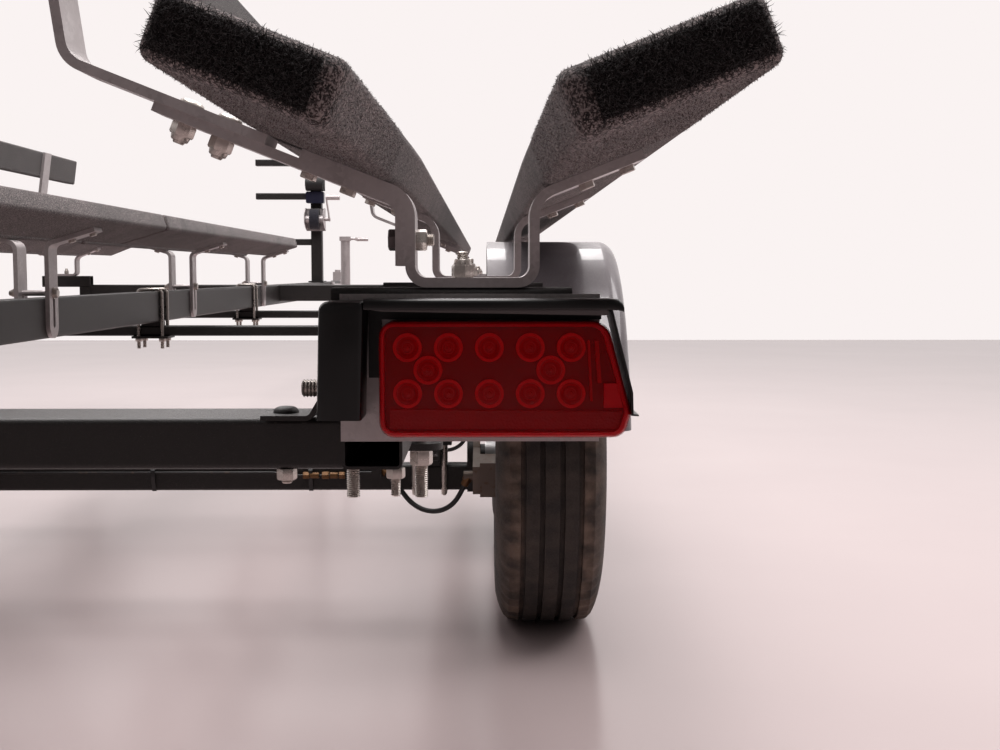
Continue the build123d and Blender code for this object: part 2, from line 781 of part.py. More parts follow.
# Tandem fender: rolled top over both wheels, outer skirt and three mounting bars
fender_radius = wheel_radius + fender_gap + 38
fender_width = fender_outer_x - fender_inner_x
fender_bar_offset = fender_radius - fender_bar_inset


def fender_form(radius, start, end, edge):
    """Adds the solid outline of the fender with its rounded outer edge."""
    with BuildSketch(side_plane(start)) as profile:
        for axle_station in axle_stations.values():
            with Locations((along(axle_station), wheel_radius)):
                Circle(radius)
        with Locations((along(equalizer_station), wheel_radius)):
            Rectangle(axle_spacing, 2 * radius)
        with Locations((along(equalizer_station), fender_foot_z)):
            Rectangle(4 * axle_spacing, 4 * radius, align=(Align.CENTER, Align.MAX), mode=Mode.SUBTRACT)
    extrude(profile.sketch, amount=end - start)
    rim = edges().filter_by_position(Axis.X, end, end).filter_by(lambda e: e.center().Z > fender_foot_z + 1)
    fillet(rim, edge)


with BuildPart() as fender_hollow:
    fender_form(fender_radius - fender_metal, fender_inner_x - 1, fender_outer_x - fender_metal,
                fender_edge - fender_metal)

with BuildPart() as fender:
    fender_form(fender_radius, fender_inner_x, fender_outer_x, fender_edge)
    add(fender_hollow.part, mode=Mode.SUBTRACT)
    with BuildSketch(side_plane(fender_outer_x - 2 * fender_metal)):
        for station in axle_stations.values():
            with Locations((along(station), wheel_radius)):
                Circle(wheel_radius + 13)
    extrude(amount=3 * fender_metal, mode=Mode.SUBTRACT)
    with BuildSketch(side_plane(fender_inner_x - 1)):
        with Locations((along(equalizer_station), fender_foot_z - fender_metal)):
            Rectangle(4 * axle_spacing, 2 * fender_metal)
    extrude(amount=fender_width - fender_metal, mode=Mode.SUBTRACT)
    for station in (rear_axle_station - fender_bar_offset, equalizer_station,
                    front_axle_station + fender_bar_offset):
        block(rail_outer_x, along(station) - fender_bar / 2, rail_bottom + 4,
              fender_outer_x - fender_metal / 2 - rail_outer_x, fender_bar, fender_bar)
write_pair(fender, "fender")

# Tail light with its LED lamps, on the rear face of the guard's plate
plate_face = bracket_stations[0] - outrigger_size / 2
light_back = plate_face - light_plate_thickness
light_face = light_back - light_depth
light_top_z = light_bottom_z + light_height
with BuildPart() as tail_light:
    with BuildSketch(cross_plane(light_face)):
        with BuildLine():
            Polyline(
                (light_left_x, light_bottom_z), (light_left_x + light_width_bottom - 7, light_bottom_z),
                (light_left_x + light_width_bottom, light_bottom_z + 24),
                (light_left_x + light_width_top, light_top_z), (light_left_x, light_top_z),
                close=True)
        make_face()
        fillet(vertices(), 6)
    extrude(amount=light_face - light_back)
    with BuildSketch(cross_plane(light_face)):
        lamp_x = light_left_x + lamp_first + (lamp_columns - 1) / 2 * lamp_pitch
        lamp_z = light_bottom_z + lamp_middle
        with Locations((lamp_x, lamp_z)):
            with GridLocations(lamp_pitch, lamp_row_pitch, lamp_columns, 2):
                Circle(lamp_radius)
            with GridLocations((lamp_columns - 2) * lamp_pitch, 1, 2, 1):
                Circle(lamp_radius)
    extrude(amount=-lamp_recess, mode=Mode.SUBTRACT)
write_pair(tail_light, "tail_light")

with BuildPart() as light_plate:
    with BuildSketch(cross_plane(light_back)):
        with Locations((light_plate_left_x, light_plate_bottom_z)):
            Rectangle(light_plate_right_x - light_plate_left_x, light_plate_height,
                      align=(Align.MIN, Align.MIN))
    extrude(amount=-light_plate_thickness)
write_pair(light_plate, "light_plate")

# Guard round the tail light: box on the inner side, visor with a lip on top and flange on the outer side
guard_face = light_back - guard_depth
guard_corner_x = guard_right_x - guard_slant
visor_z = light_top_z + visor_gap
guard_top_z = visor_z + visor_lip
with BuildPart() as light_guard:
    with BuildSketch(cross_plane(guard_face)):
        with BuildLine():
            Polyline(
                (guard_left_x, guard_bottom_z), (guard_box_x, guard_bottom_z), (guard_box_x, visor_z),
                (guard_corner_x, visor_z), (guard_right_x, light_bottom_z + 36),
                (guard_right_x, light_bottom_z + 14), (guard_right_x + guard_metal, light_bottom_z + 14),
                (guard_right_x + guard_metal, light_bottom_z + 38), (guard_corner_x + 5, guard_top_z),
                (guard_left_x, guard_top_z),
                close=True)
        make_face()
        fillet(vertices().group_by(Axis.X)[0].sort_by(Axis.Y)[-1], guard_corner)
    extrude(amount=-guard_depth)
    with BuildSketch(cross_plane(guard_face + guard_metal)):
        with Locations(((guard_left_x + guard_box_x) / 2, guard_bottom_z - guard_metal)):
            Rectangle(guard_box_x - guard_left_x - 2 * guard_metal, guard_top_z - guard_bottom_z,
                      align=(Align.CENTER, Align.MIN))
    extrude(amount=-guard_depth, mode=Mode.SUBTRACT)
    with BuildSketch(cross_plane(guard_face + 2 * guard_metal)):
        with Locations((guard_box_x, visor_z + guard_metal)):
            Rectangle(guard_right_x - guard_box_x, 2 * visor_lip, align=(Align.MIN, Align.MIN))
    extrude(amount=-guard_depth, mode=Mode.SUBTRACT)
write_pair(light_guard, "light_guard")

# Winch stand: foot plate, post and three steps on the left
post_y = along(winch_stand_station)
post_foot = 8
with BuildPart() as winch_stand:
    block(-spine_width / 2 - 14, post_y - winch_foot_length / 2, spine_top,
          spine_width + 28, winch_foot_length, post_foot)
    tube_up(0, post_y, winch_post, winch_post, spine_top + post_foot, winch_post_top)
    for height in step_heights:
        tube_across(post_y, height, step_depth, step_height, -step_length, -winch_post / 2)
write(winch_stand, "winch_stand")

# Winch on the rear face of the post: side plates, drum, shaft and crank
winch_y = post_y - winch_post / 2
shaft_y = winch_y - 60
with BuildPart() as winch:
    block(-winch_width / 2, winch_y - winch_plate, winch_z - 66, winch_width, winch_plate, 130)
    for side in (-1, 1):
        with BuildSketch(side_plane(side * (winch_width - winch_plate) / 2 - winch_plate / 2)) as cheek:
            with BuildLine():
                Polyline(
                    (winch_y, winch_z - 66), (winch_y - 60, winch_z - 50), (winch_y - 112, winch_z - 20),
                    (winch_y - 112, winch_z + 30), (winch_y - 60, winch_z + 64), (winch_y, winch_z + 64),
                    close=True)
            make_face()
            fillet(cheek.vertices().group_by(Axis.Y)[0], 16)
        extrude(cheek.sketch, amount=winch_plate)
    with BuildSketch(side_plane(-winch_width / 2)) as core:
        with Locations((shaft_y, winch_z)):
            Circle(drum_core)
    extrude(core.sketch, amount=winch_width)
    with BuildSketch(side_plane(winch_width / 2)) as shaft:
        with Locations((shaft_y, winch_z)):
            Circle(11)
    extrude(shaft.sketch, amount=34)
    with BuildSketch(side_plane(winch_width / 2 + 26)) as crank:
        with Locations(Location((shaft_y, winch_z, 0), (0, 0, crank_angle))):
            with Locations((crank_length / 2, 0)):
                SlotCenterToCenter(crank_length, 26)
    extrude(crank.sketch, amount=6)
    with BuildSketch(side_plane(winch_width / 2 + 30)) as grip:
        with Locations((shaft_y + crank_length * cos(radians(crank_angle)),
                        winch_z + crank_length * sin(radians(crank_angle)))):
            Circle(15)
    extrude(grip.sketch, amount=crank_grip)
write(winch, "winch")

# Bow stop: a rubber roller between two plates on the rear face of the post
with BuildPart() as bow_stop:
    for side in (-1, 1):
        with BuildSketch(side_plane(side * 52 - winch_plate / 2)) as ear:
            with BuildLine():
                Polyline(
                    (winch_y, bow_stop_z - 40), (winch_y - 70, bow_stop_z - 14),
                    (winch_y - 70, bow_stop_z + 14), (winch_y, bow_stop_z + 40),
                    close=True)
            make_face()
        extrude(ear.sketch, amount=winch_plate)
    block(-54, winch_y - winch_plate, bow_stop_z - 40, 108, winch_plate, 80)
    with BuildSketch(side_plane(-50)) as roller:
        with Locations((winch_y - 56, bow_stop_z)):
            Circle(bow_stop_radius)
    extrude(roller.sketch, amount=100)
write(bow_stop, "bow_stop")

# Coupler: sleeve over the end of the spine, sliding block, ball socket and fluid reservoir
sleeve_inner_width = spine_width + 2 * actuator_clearance
sleeve_inner_height = spine_height + 2 * actuator_clearance
socket_station = nose_station - coupler_bore - coupler_wall
slide_margin = 4
with BuildPart() as coupler:
    with BuildSketch(cross_plane(actuator_start)) as sleeve:
        with Locations((0, spine_z)):
            RectangleRounded(sleeve_inner_width + 2 * actuator_wall, sleeve_inner_height + 2 * actuator_wall,
                             tube_corner + actuator_wall)
            RectangleRounded(sleeve_inner_width, sleeve_inner_height, tube_corner, mode=Mode.SUBTRACT)
    extrude(sleeve.sketch, amount=actuator_start - actuator_end)
    block(-spine_width / 2 + slide_margin, along(spine_front + slide_margin), rail_top + slide_margin,
          spine_width - 2 * slide_margin, slide_end - spine_front - slide_margin,
          spine_height - 2 * slide_margin)
    for station in (spine_front + 45, actuator_end - 30):
        with BuildSketch(side_plane(-sleeve_inner_width / 2 - actuator_wall - 6)) as pin:
            with Locations((along(station), spine_z)):
                Circle(9)
        extrude(pin.sketch, amount=sleeve_inner_width + 2 * actuator_wall + 12)
    with BuildSketch(floor_plane(coupler_mouth_z)) as head:
        with Locations((0, along(socket_station))):
            Circle(coupler_bore + coupler_wall)
        with BuildLine():
            Polyline(
                (-spine_width / 2 + slide_margin, along(slide_end - 20)),
                (-coupler_bore - coupler_wall, along(socket_station)),
                (coupler_bore + coupler_wall, along(socket_station)),
                (spine_width / 2 - slide_margin, along(slide_end - 20)),
                close=True)
        make_face()
    extrude(head.sketch, amount=coupler_bore_length + coupler_wall)
    with BuildSketch(floor_plane(coupler_mouth_z)) as bore:
        with Locations((0, along(socket_station))):
            Circle(coupler_bore)
    extrude(bore.sketch, amount=coupler_bore_length, mode=Mode.SUBTRACT)
    block(-26, along(actuator_start + 70), rail_top + spine_height + actuator_wall, 52, 110, reservoir_height)
    with BuildSketch(floor_plane(spine_top + actuator_wall + reservoir_height)) as cap:
        with Locations((0, along(actuator_start + 125))):
            Circle(19)
    extrude(cap.sketch, amount=14)
write(coupler, "coupler")

# Jack: bracket and pin on the spine, swivelling tube, and the leg that slides in it
jack_y = along(jack_station)
jack_bracket = 8
collar_start = spine_width / 2 + jack_bracket + running_gap
with BuildPart() as jack_bracket_plate:
    block(spine_width / 2, jack_y - 60, rail_top + 1, jack_bracket, 120, spine_height - 2)
    with BuildSketch(side_plane(spine_width / 2 + jack_bracket)) as pin:
        with Locations((jack_y, spine_z)):
            Circle(jack_pivot_radius)
    extrude(pin.sketch, amount=jack_x - jack_tube_radius - 3 - spine_width / 2 - jack_bracket)
write(jack_bracket_plate, "jack_bracket")

with BuildPart() as jack_tube:
    with BuildSketch(floor_plane(jack_tube_bottom)):
        with Locations((jack_x, jack_y)):
            Circle(jack_tube_radius)
    extrude(amount=jack_tube_top - jack_tube_bottom)
    with BuildSketch(side_plane(collar_start)) as collar:
        with Locations((jack_y, spine_z)):
            Circle(jack_pivot_radius + jack_collar_wall)
    extrude(collar.sketch, amount=jack_x - collar_start)
    with BuildSketch(side_plane(collar_start)) as seat:
        with Locations((jack_y, spine_z)):
            Circle(jack_pivot_radius + spindle_clearance)
    extrude(seat.sketch, amount=jack_x - jack_tube_radius - 2 - collar_start, mode=Mode.SUBTRACT)
    with BuildSketch(floor_plane(jack_tube_bottom)) as inside:
        with Locations((jack_x, jack_y)):
            Circle(jack_leg_radius + jack_leg_clearance)
    extrude(inside.sketch, amount=jack_tube_top - jack_tube_bottom - 6, mode=Mode.SUBTRACT)
    block(jack_x - 34, jack_y - 34, jack_tube_top, 68, 68, 26, corner=8)
    with BuildSketch(side_plane(jack_x + 34)) as crank:
        with Locations((jack_y, jack_tube_top + 13)):
            Circle(8)
    extrude(crank.sketch, amount=30)
    with BuildSketch(side_plane(jack_x + 58)) as arm:
        with Locations((jack_y + 70, jack_tube_top + 13)):
            SlotCenterToCenter(140, 20)
    extrude(arm.sketch, amount=6)
    with BuildSketch(side_plane(jack_x + 60)) as knob:
        with Locations((jack_y + 140, jack_tube_top + 13)):
            Circle(12)
    extrude(knob.sketch, amount=70)
write(jack_tube, "jack_tube")

with BuildPart() as jack_leg:
    with BuildSketch(floor_plane(0)):
        with Locations((jack_x, jack_y)):
            Circle(jack_foot_radius)
    extrude(amount=jack_foot_plate)
    with BuildSketch(floor_plane(0)):
        with Locations((jack_x, jack_y)):
            Circle(jack_leg_radius)
    extrude(amount=jack_tube_top - jack_travel - 20)
write(jack_leg, "jack_leg")

# Brake hoses from the fittings on the axles to the calipers: straight runs joined by arcs
for name, station in axle_stations.items():
    route_plane, points, radii = hose_routes[name]
    print(name, "hose radii", [round(radius, 1) for radius in radii])
    with BuildPart() as hose:
        with BuildLine(route_plane) as path:
            route = FilletPolyline(*points, radius=radii)
        with BuildSketch(Plane(origin=route @ 0, z_dir=route % 0)):
            Circle(hose_radius)
        sweep(path=route)
    length = sum(edge.length for edge in route.edges())
    print("length", round(length, 1), "volume ratio", hose.part.volume / (length * pi * hose_radius ** 2))
    write_pair(hose, f"{name}_brake_hose")
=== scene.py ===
"""Dresses a tandem-axle pontoon boat trailer: carpeted bunks, galvanised brackets, lamps, tyres and bolts."""

import logging
import math
from dataclasses import dataclass, field
from enum import Enum
from typing import Callable, Iterable, Sequence

import bmesh
import bpy
from mathutils import Matrix, Vector

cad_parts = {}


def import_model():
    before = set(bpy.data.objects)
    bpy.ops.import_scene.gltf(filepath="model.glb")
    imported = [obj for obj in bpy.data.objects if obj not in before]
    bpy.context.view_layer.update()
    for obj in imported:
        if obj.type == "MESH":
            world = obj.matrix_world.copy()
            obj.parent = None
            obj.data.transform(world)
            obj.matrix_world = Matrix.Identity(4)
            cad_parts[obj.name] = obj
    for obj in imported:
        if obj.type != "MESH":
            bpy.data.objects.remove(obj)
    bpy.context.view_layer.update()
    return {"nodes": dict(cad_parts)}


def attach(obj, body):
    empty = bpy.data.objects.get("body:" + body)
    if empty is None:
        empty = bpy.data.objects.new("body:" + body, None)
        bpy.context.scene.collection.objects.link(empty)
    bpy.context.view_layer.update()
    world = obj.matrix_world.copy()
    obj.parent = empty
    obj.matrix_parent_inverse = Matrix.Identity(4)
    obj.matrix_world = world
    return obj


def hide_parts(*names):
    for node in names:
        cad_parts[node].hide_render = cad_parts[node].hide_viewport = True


LOG = logging.getLogger("trailer")
Point = tuple[float, float, float]
Flat = tuple[float, float]
Screen = tuple[int, int, int]
Rib = tuple[float, float, str]
Placer = Callable[[float, float, float], Point]

MIDDLE_STATION = 3.750
BUNK_REAR = -0.445
BRACKET_STATIONS = (-0.003, 0.640, 2.790, 3.370, 4.815)
GUIDE_STATIONS = (-0.003, 3.370)
CENTRE_STATIONS = (0.220, 1.590, 2.980, 4.330)
LOW_CROSS_STATIONS = (2.590, 4.120)
AXLE_STATIONS = {"rear": 1.340, "front": 2.229}
BRACKET_X = 0.973
RAIL_X = 0.873
ARM_ANGLE = math.radians(21.5)
ARM_Z = 0.7727
CENTRE_ANGLE = math.radians(17)
CENTRE_ARM_X = 0.03375
CENTRE_ARM_Z = 0.7625
LEG_X = 0.05975
HALF_BAR = 0.00475
UP = (0.0, 0.0, 1.0)
DOWN = (0.0, 0.0, -1.0)


class Side(Enum):
    """One side of the trailer, with its sign along X."""

    RIGHT = 1
    LEFT = -1

    @property
    def label(self) -> str:
        """The side's name as the nodes spell it."""
        return self.name.lower()


def along(station: float) -> float:
    """Turns a station, measured forward from the rear tube, into Y.

    Args:
        station: distance from the rear face of the rear cross member, in metres.

    Returns:
        The Y coordinate in the trailer's frame.
    """
    return station - MIDDLE_STATION


def srgb(red: int, green: int, blue: int) -> tuple[float, float, float, float]:
    """Turns a colour as seen on a screen into the linear values that shaders take.

    Args:
        red: red from 0 to 255.
        green: green from 0 to 255.
        blue: blue from 0 to 255.

    Returns:
        Linear red, green, blue and an alpha of 1.
    """
    def linear(value: float) -> float:
        """One channel from its screen value."""
        return value / 12.92 if value <= 0.04045 else ((value + 0.055) / 1.055) ** 2.4

    return (linear(red / 255), linear(green / 255), linear(blue / 255), 1.0)


def shaded(colour: Screen, share: float) -> tuple[float, float, float, float]:
    """A screen colour in linear values, darkened to a share of its light."""
    red, green, blue, alpha = srgb(*colour)
    return (red * share, green * share, blue * share, alpha)


class NodeBench:
    """Builds a node tree in few words."""

    def __init__(self, tree: bpy.types.NodeTree) -> None:
        """Takes the tree that it works on.

        Args:
            tree: the node tree.
        """
        self.tree = tree

    def feed(self, socket: bpy.types.NodeSocket, value: object) -> None:
        """Links a socket into an input, or sets the input to a plain value.

        Args:
            socket: the input.
            value: another node's output, or a plain value.
        """
        if isinstance(value, bpy.types.NodeSocket):
            self.tree.links.new(value, socket)
        else:
            socket.default_value = value

    def node(self, kind: str, inputs: dict[str | int, object] | None = None,
             **settings: object) -> bpy.types.Node:
        """Adds a node.

        Args:
            kind: the node's full type name.
            inputs: sockets or values for its inputs.
            settings: attributes to set on it.

        Returns:
            The new node.
        """
        made = self.tree.nodes.new(kind)
        for key, value in settings.items():
            setattr(made, key, value)
        for key, value in (inputs or {}).items():
            self.feed(made.inputs[key], value)
        return made

    def calc(self, operation: str, first: object, second: object = 0.0,
             clamp: bool = False) -> bpy.types.NodeSocket:
        """Adds a math node.

        Args:
            operation: the operation's name.
            first: socket or number.
            second: socket or number.
            clamp: whether the result is held between 0 and 1.

        Returns:
            The result's socket.
        """
        made = self.node("ShaderNodeMath", {0: first, 1: second}, operation=operation, use_clamp=clamp)
        return made.outputs[0]


class ShaderBench(NodeBench):
    """Builds one material's node tree on object coordinates."""

    def __init__(self, name: str) -> None:
        """Starts a material with a bare shader.

        Args:
            name: the material's name.
        """
        self.material = bpy.data.materials.new(name)
        self.material.use_nodes = True
        super().__init__(self.material.node_tree)
        self.tree.nodes.clear()
        self.shader = self.node("ShaderNodeBsdfPrincipled")
        self.node("ShaderNodeOutputMaterial", {"Surface": self.shader.outputs[0]})
        self.place = self.node("ShaderNodeTexCoord").outputs["Object"]

    def noise(self, scale: float, detail: float) -> bpy.types.NodeSocket:
        """Adds a noise.

        Args:
            scale: how many features to a metre.
            detail: how many octaves.

        Returns:
            The noise's factor socket.
        """
        made = self.node("ShaderNodeTexNoise", {"Vector": self.place, "Scale": scale, "Detail": detail})
        return made.outputs["Fac"]

    def cells(self, scale: float) -> bpy.types.bpy_prop_collection:
        """Adds a cell pattern.

        Args:
            scale: how many cells to a metre.

        Returns:
            The pattern's outputs.
        """
        return self.node("ShaderNodeTexVoronoi", {"Vector": self.place, "Scale": scale}).outputs

    def ramp(self, factor: bpy.types.NodeSocket, *stops: tuple[float, object]) -> bpy.types.NodeSocket:
        """Adds a colour ramp.

        Args:
            factor: what drives it.
            stops: positions and their colours, or a number for a grey.

        Returns:
            The ramp's colour socket.
        """
        made = self.node("ShaderNodeValToRGB", {0: factor})
        elements = made.color_ramp.elements
        while len(elements) < len(stops):
            elements.new(1.0)
        for element, (position, colour) in zip(elements, stops):
            element.position = position
            element.color = colour if isinstance(colour, tuple) else (colour, colour, colour, 1.0)
        return made.outputs["Color"]

    def blend(self, factor: object, first: object, second: object) -> bpy.types.NodeSocket:
        """Mixes two colours.

        Args:
            factor: a socket or a number from 0 to 1.
            first: socket or colour at 0.
            second: socket or colour at 1.

        Returns:
            The mixed colour's socket.
        """
        return self.node("ShaderNodeMix", {0: factor, 6: first, 7: second}, data_type="RGBA").outputs[2]

    def bump(self, height: bpy.types.NodeSocket, distance: float, strength: float) -> None:
        """Adds a bump to the surface, on top of the bumps that it already has.

        Args:
            height: what raises the surface.
            distance: the height in metres.
            strength: how much of it counts.
        """
        made = self.node("ShaderNodeBump", {"Distance": distance, "Strength": strength, "Height": height})
        normal = self.shader.inputs["Normal"]
        if normal.is_linked:
            self.feed(made.inputs["Normal"], normal.links[0].from_socket)
        self.feed(normal, made.outputs[0])

    def finish(self, inputs: dict[str, object]) -> bpy.types.Material:
        """Sets the shader's inputs and hands out the material.

        Args:
            inputs: sockets or values by the input's name.

        Returns:
            The finished material.
        """
        for name, value in inputs.items():
            self.feed(self.shader.inputs[name], value)
        return self.material


@dataclass(frozen=True)
class PowderCoat:
    """Near-black textured paint with fine bright grains."""

    base: Screen = (25, 22, 22)
    dusty: Screen = (34, 31, 30)
    bright: Screen = (92, 86, 84)

    def material(self) -> bpy.types.Material:
        """Builds the paint."""
        bench = ShaderBench("frame_powder_coat")
        grain = bench.noise(1400.0, 2.0)
        dark = bench.blend(bench.noise(7.0, 5.0), srgb(*self.base), srgb(*self.dusty))
        speckle = bench.ramp(grain, (0.0, 0.0), (0.64, 0.0), (0.72, 1.0))
        bench.bump(grain, 0.0004, 0.8)
        return bench.finish({"Base Color": bench.blend(speckle, dark, srgb(*self.bright)),
                             "Roughness": bench.ramp(grain, (0.3, 0.30), (0.7, 0.52)),
                             "Specular IOR Level": 0.4})


@dataclass(frozen=True)
class Galvanised:
    """Dull zinc with faint crystals, streaks and stains."""

    name: str = "galvanised_zinc"
    light: Screen = (206, 199, 199)
    dark: Screen = (158, 151, 151)
    metal: float = 0.55
    roughness: float = 0.36
    crystals: float = 240.0

    def material(self) -> bpy.types.Material:
        """Builds the zinc."""
        bench = ShaderBench(self.name)
        shade = bench.ramp(bench.cells(self.crystals)["Color"], (0.1, 0.35), (0.9, 0.75))
        stain = bench.noise(38.0, 6.0)
        mixed = bench.blend(bench.ramp(stain, (0.35, 0.0), (0.7, 1.0)), shade, (0.55, 0.55, 0.55, 1.0))
        bench.bump(bench.noise(900.0, 2.0), 0.0002, 0.35)
        bench.bump(stain, 0.0006, 0.25)
        return bench.finish({
            "Base Color": bench.blend(mixed, srgb(*self.dark), srgb(*self.light)), "Metallic": self.metal,
            "Roughness": bench.ramp(stain, (0.3, self.roughness - 0.06), (0.75, self.roughness + 0.16))})


@dataclass(frozen=True)
class BunkCarpet:
    """Marine carpet: heather brown and grey fibres, densely matted."""

    name: str = "bunk_carpet"
    dark: Screen = (28, 24, 24)
    middle: Screen = (62, 54, 54)
    light: Screen = (156, 144, 142)

    def material(self) -> bpy.types.Material:
        """Builds the carpet."""
        bench = ShaderBench(self.name)
        dark, middle, light = srgb(*self.dark), srgb(*self.middle), srgb(*self.light)
        loops = bench.noise(330.0, 3.0)
        tufts = bench.noise(700.0, 2.0)
        patches = bench.ramp(bench.noise(9.0, 4.0), (0.35, 0.0), (0.75, 0.5))
        heather = bench.ramp(loops, (0.40, dark), (0.52, middle), (0.66, light))
        flecked = bench.blend(bench.ramp(tufts, (0.54, 0.0), (0.62, 1.0)), heather, light)
        bench.bump(loops, 0.0022, 0.9)
        bench.bump(tufts, 0.0009, 0.8)
        return bench.finish({"Base Color": bench.blend(patches, flecked, dark), "Roughness": 0.95,
                             "Specular IOR Level": 0.15, "Sheen Weight": 0.25, "Sheen Roughness": 0.5})


@dataclass(frozen=True)
class TyreRubber:
    """Road tyre rubber with brown dust on the shoulders and in the grooves."""

    middle_x: float = 1.106
    rubber: Screen = (36, 33, 32)
    worn: Screen = (52, 46, 43)
    dust: Screen = (132, 112, 98)

    def material(self) -> bpy.types.Material:
        """Builds the rubber."""
        bench = ShaderBench("tyre_rubber")
        fine = bench.noise(320.0, 4.0)
        split = bench.node("ShaderNodeSeparateXYZ", {0: bench.place})
        away = bench.calc("SUBTRACT", bench.calc("ABSOLUTE", split.outputs["X"]), self.middle_x)
        decimetres = bench.calc("MULTIPLY", bench.calc("ABSOLUTE", away), 10.0)
        shoulder = bench.ramp(decimetres, (0.48, 0.12), (0.60, 1.0), (0.92, 0.3))
        dusty = bench.blend(shoulder, srgb(*self.worn), srgb(*self.dust))
        patches = bench.ramp(bench.noise(26.0, 7.0), (0.34, 0.15), (0.68, 0.9))
        bench.bump(fine, 0.0006, 0.5)
        return bench.finish({"Base Color": bench.blend(patches, srgb(*self.rubber), dusty),
                             "Roughness": bench.ramp(fine, (0.3, 0.62), (0.7, 0.86))})


@dataclass(frozen=True)
class SmoothPaint:
    """Gloss or satin paint over an even base."""

    name: str
    base: Screen
    roughness: float = 0.3
    metal: float = 0.0
    coat: float = 0.0
    flake: float = 0.0
    wear: Screen | None = None

    def material(self) -> bpy.types.Material:
        """Builds the paint."""
        bench = ShaderBench(self.name)
        smudge = bench.noise(17.0, 6.0)
        tone = bench.blend(smudge, srgb(*self.base), shaded(self.base, 0.86))
        if self.wear is not None:
            worn = bench.ramp(bench.noise(60.0, 8.0), (0.56, 0.0), (0.70, 0.8))
            tone = bench.blend(worn, tone, srgb(*self.wear))
        if self.flake:
            flakes = bench.ramp(bench.cells(2600.0)["Color"], (0.80, 0.0), (0.95, self.flake))
            tone = bench.blend(flakes, tone, (0.75, 0.72, 0.72, 1.0))
        low, high = max(self.roughness - 0.05, 0.02), self.roughness + 0.12
        bench.bump(bench.noise(700.0, 2.0), 0.0001, 0.25)
        return bench.finish({"Base Color": tone, "Roughness": bench.ramp(smudge, (0.35, low), (0.75, high)),
                             "Metallic": self.metal, "Coat Weight": self.coat, "Coat Roughness": 0.05})


@dataclass(frozen=True)
class GrittyPad:
    """Black non-skid surface with coarse grit."""

    dark: Screen = (20, 19, 20)
    middle: Screen = (38, 36, 37)
    light: Screen = (90, 86, 86)

    def material(self) -> bpy.types.Material:
        """Builds the grit."""
        bench = ShaderBench("non_skid_grit")
        grit = bench.noise(620.0, 3.0)
        bench.bump(grit, 0.0012, 0.9)
        tones = bench.ramp(grit, (0.35, srgb(*self.dark)), (0.66, srgb(*self.middle)),
                           (0.74, srgb(*self.light)))
        return bench.finish({"Base Color": tones, "Roughness": 0.82})


@dataclass(frozen=True)
class TintedPlastic:
    """See-through red plastic of the lamp's lens."""

    base: Screen = (168, 0, 5)
    alpha: float = 0.42

    def material(self) -> bpy.types.Material:
        """Builds the plastic."""
        return ShaderBench("lamp_lens").finish({"Base Color": srgb(*self.base), "Roughness": 0.07,
                                                "Alpha": self.alpha, "IOR": 1.49, "Specular IOR Level": 0.10})


@dataclass(frozen=True)
class RedPlastic:
    """Opaque red plastic inside the lamp, with a moulded grain and, for prisms, painted glints."""

    name: str
    base: Screen
    roughness: float
    prism: float = 0.0

    def material(self) -> bpy.types.Material:
        """Builds the plastic."""
        bench = ShaderBench(self.name)
        tone = bench.blend(bench.noise(140.0, 3.0), srgb(*self.base), shaded(self.base, 0.7))
        # painted glints: the prisms' centres are lightened towards a pale red
        if self.prism:
            distance = bench.cells(self.prism)["Distance"]
            tone = bench.blend(bench.ramp(distance, (0.10, 0.6), (0.22, 0.0)), tone, srgb(214, 60, 66))
            bench.bump(distance, 0.0006, 0.7)
        return bench.finish({"Base Color": tone, "Roughness": self.roughness})


@dataclass(frozen=True)
class StudioFloor:
    """Pale glossy floor with faint patches."""

    low: Screen = (180, 165, 165)
    high: Screen = (194, 179, 178)

    def material(self) -> bpy.types.Material:
        """Builds the floor."""
        bench = ShaderBench("studio_floor")
        patches = bench.blend(bench.noise(0.9, 5.0), srgb(*self.low), srgb(*self.high))
        return bench.finish({"Base Color": patches, "Roughness": 0.20, "Specular IOR Level": 0.5})


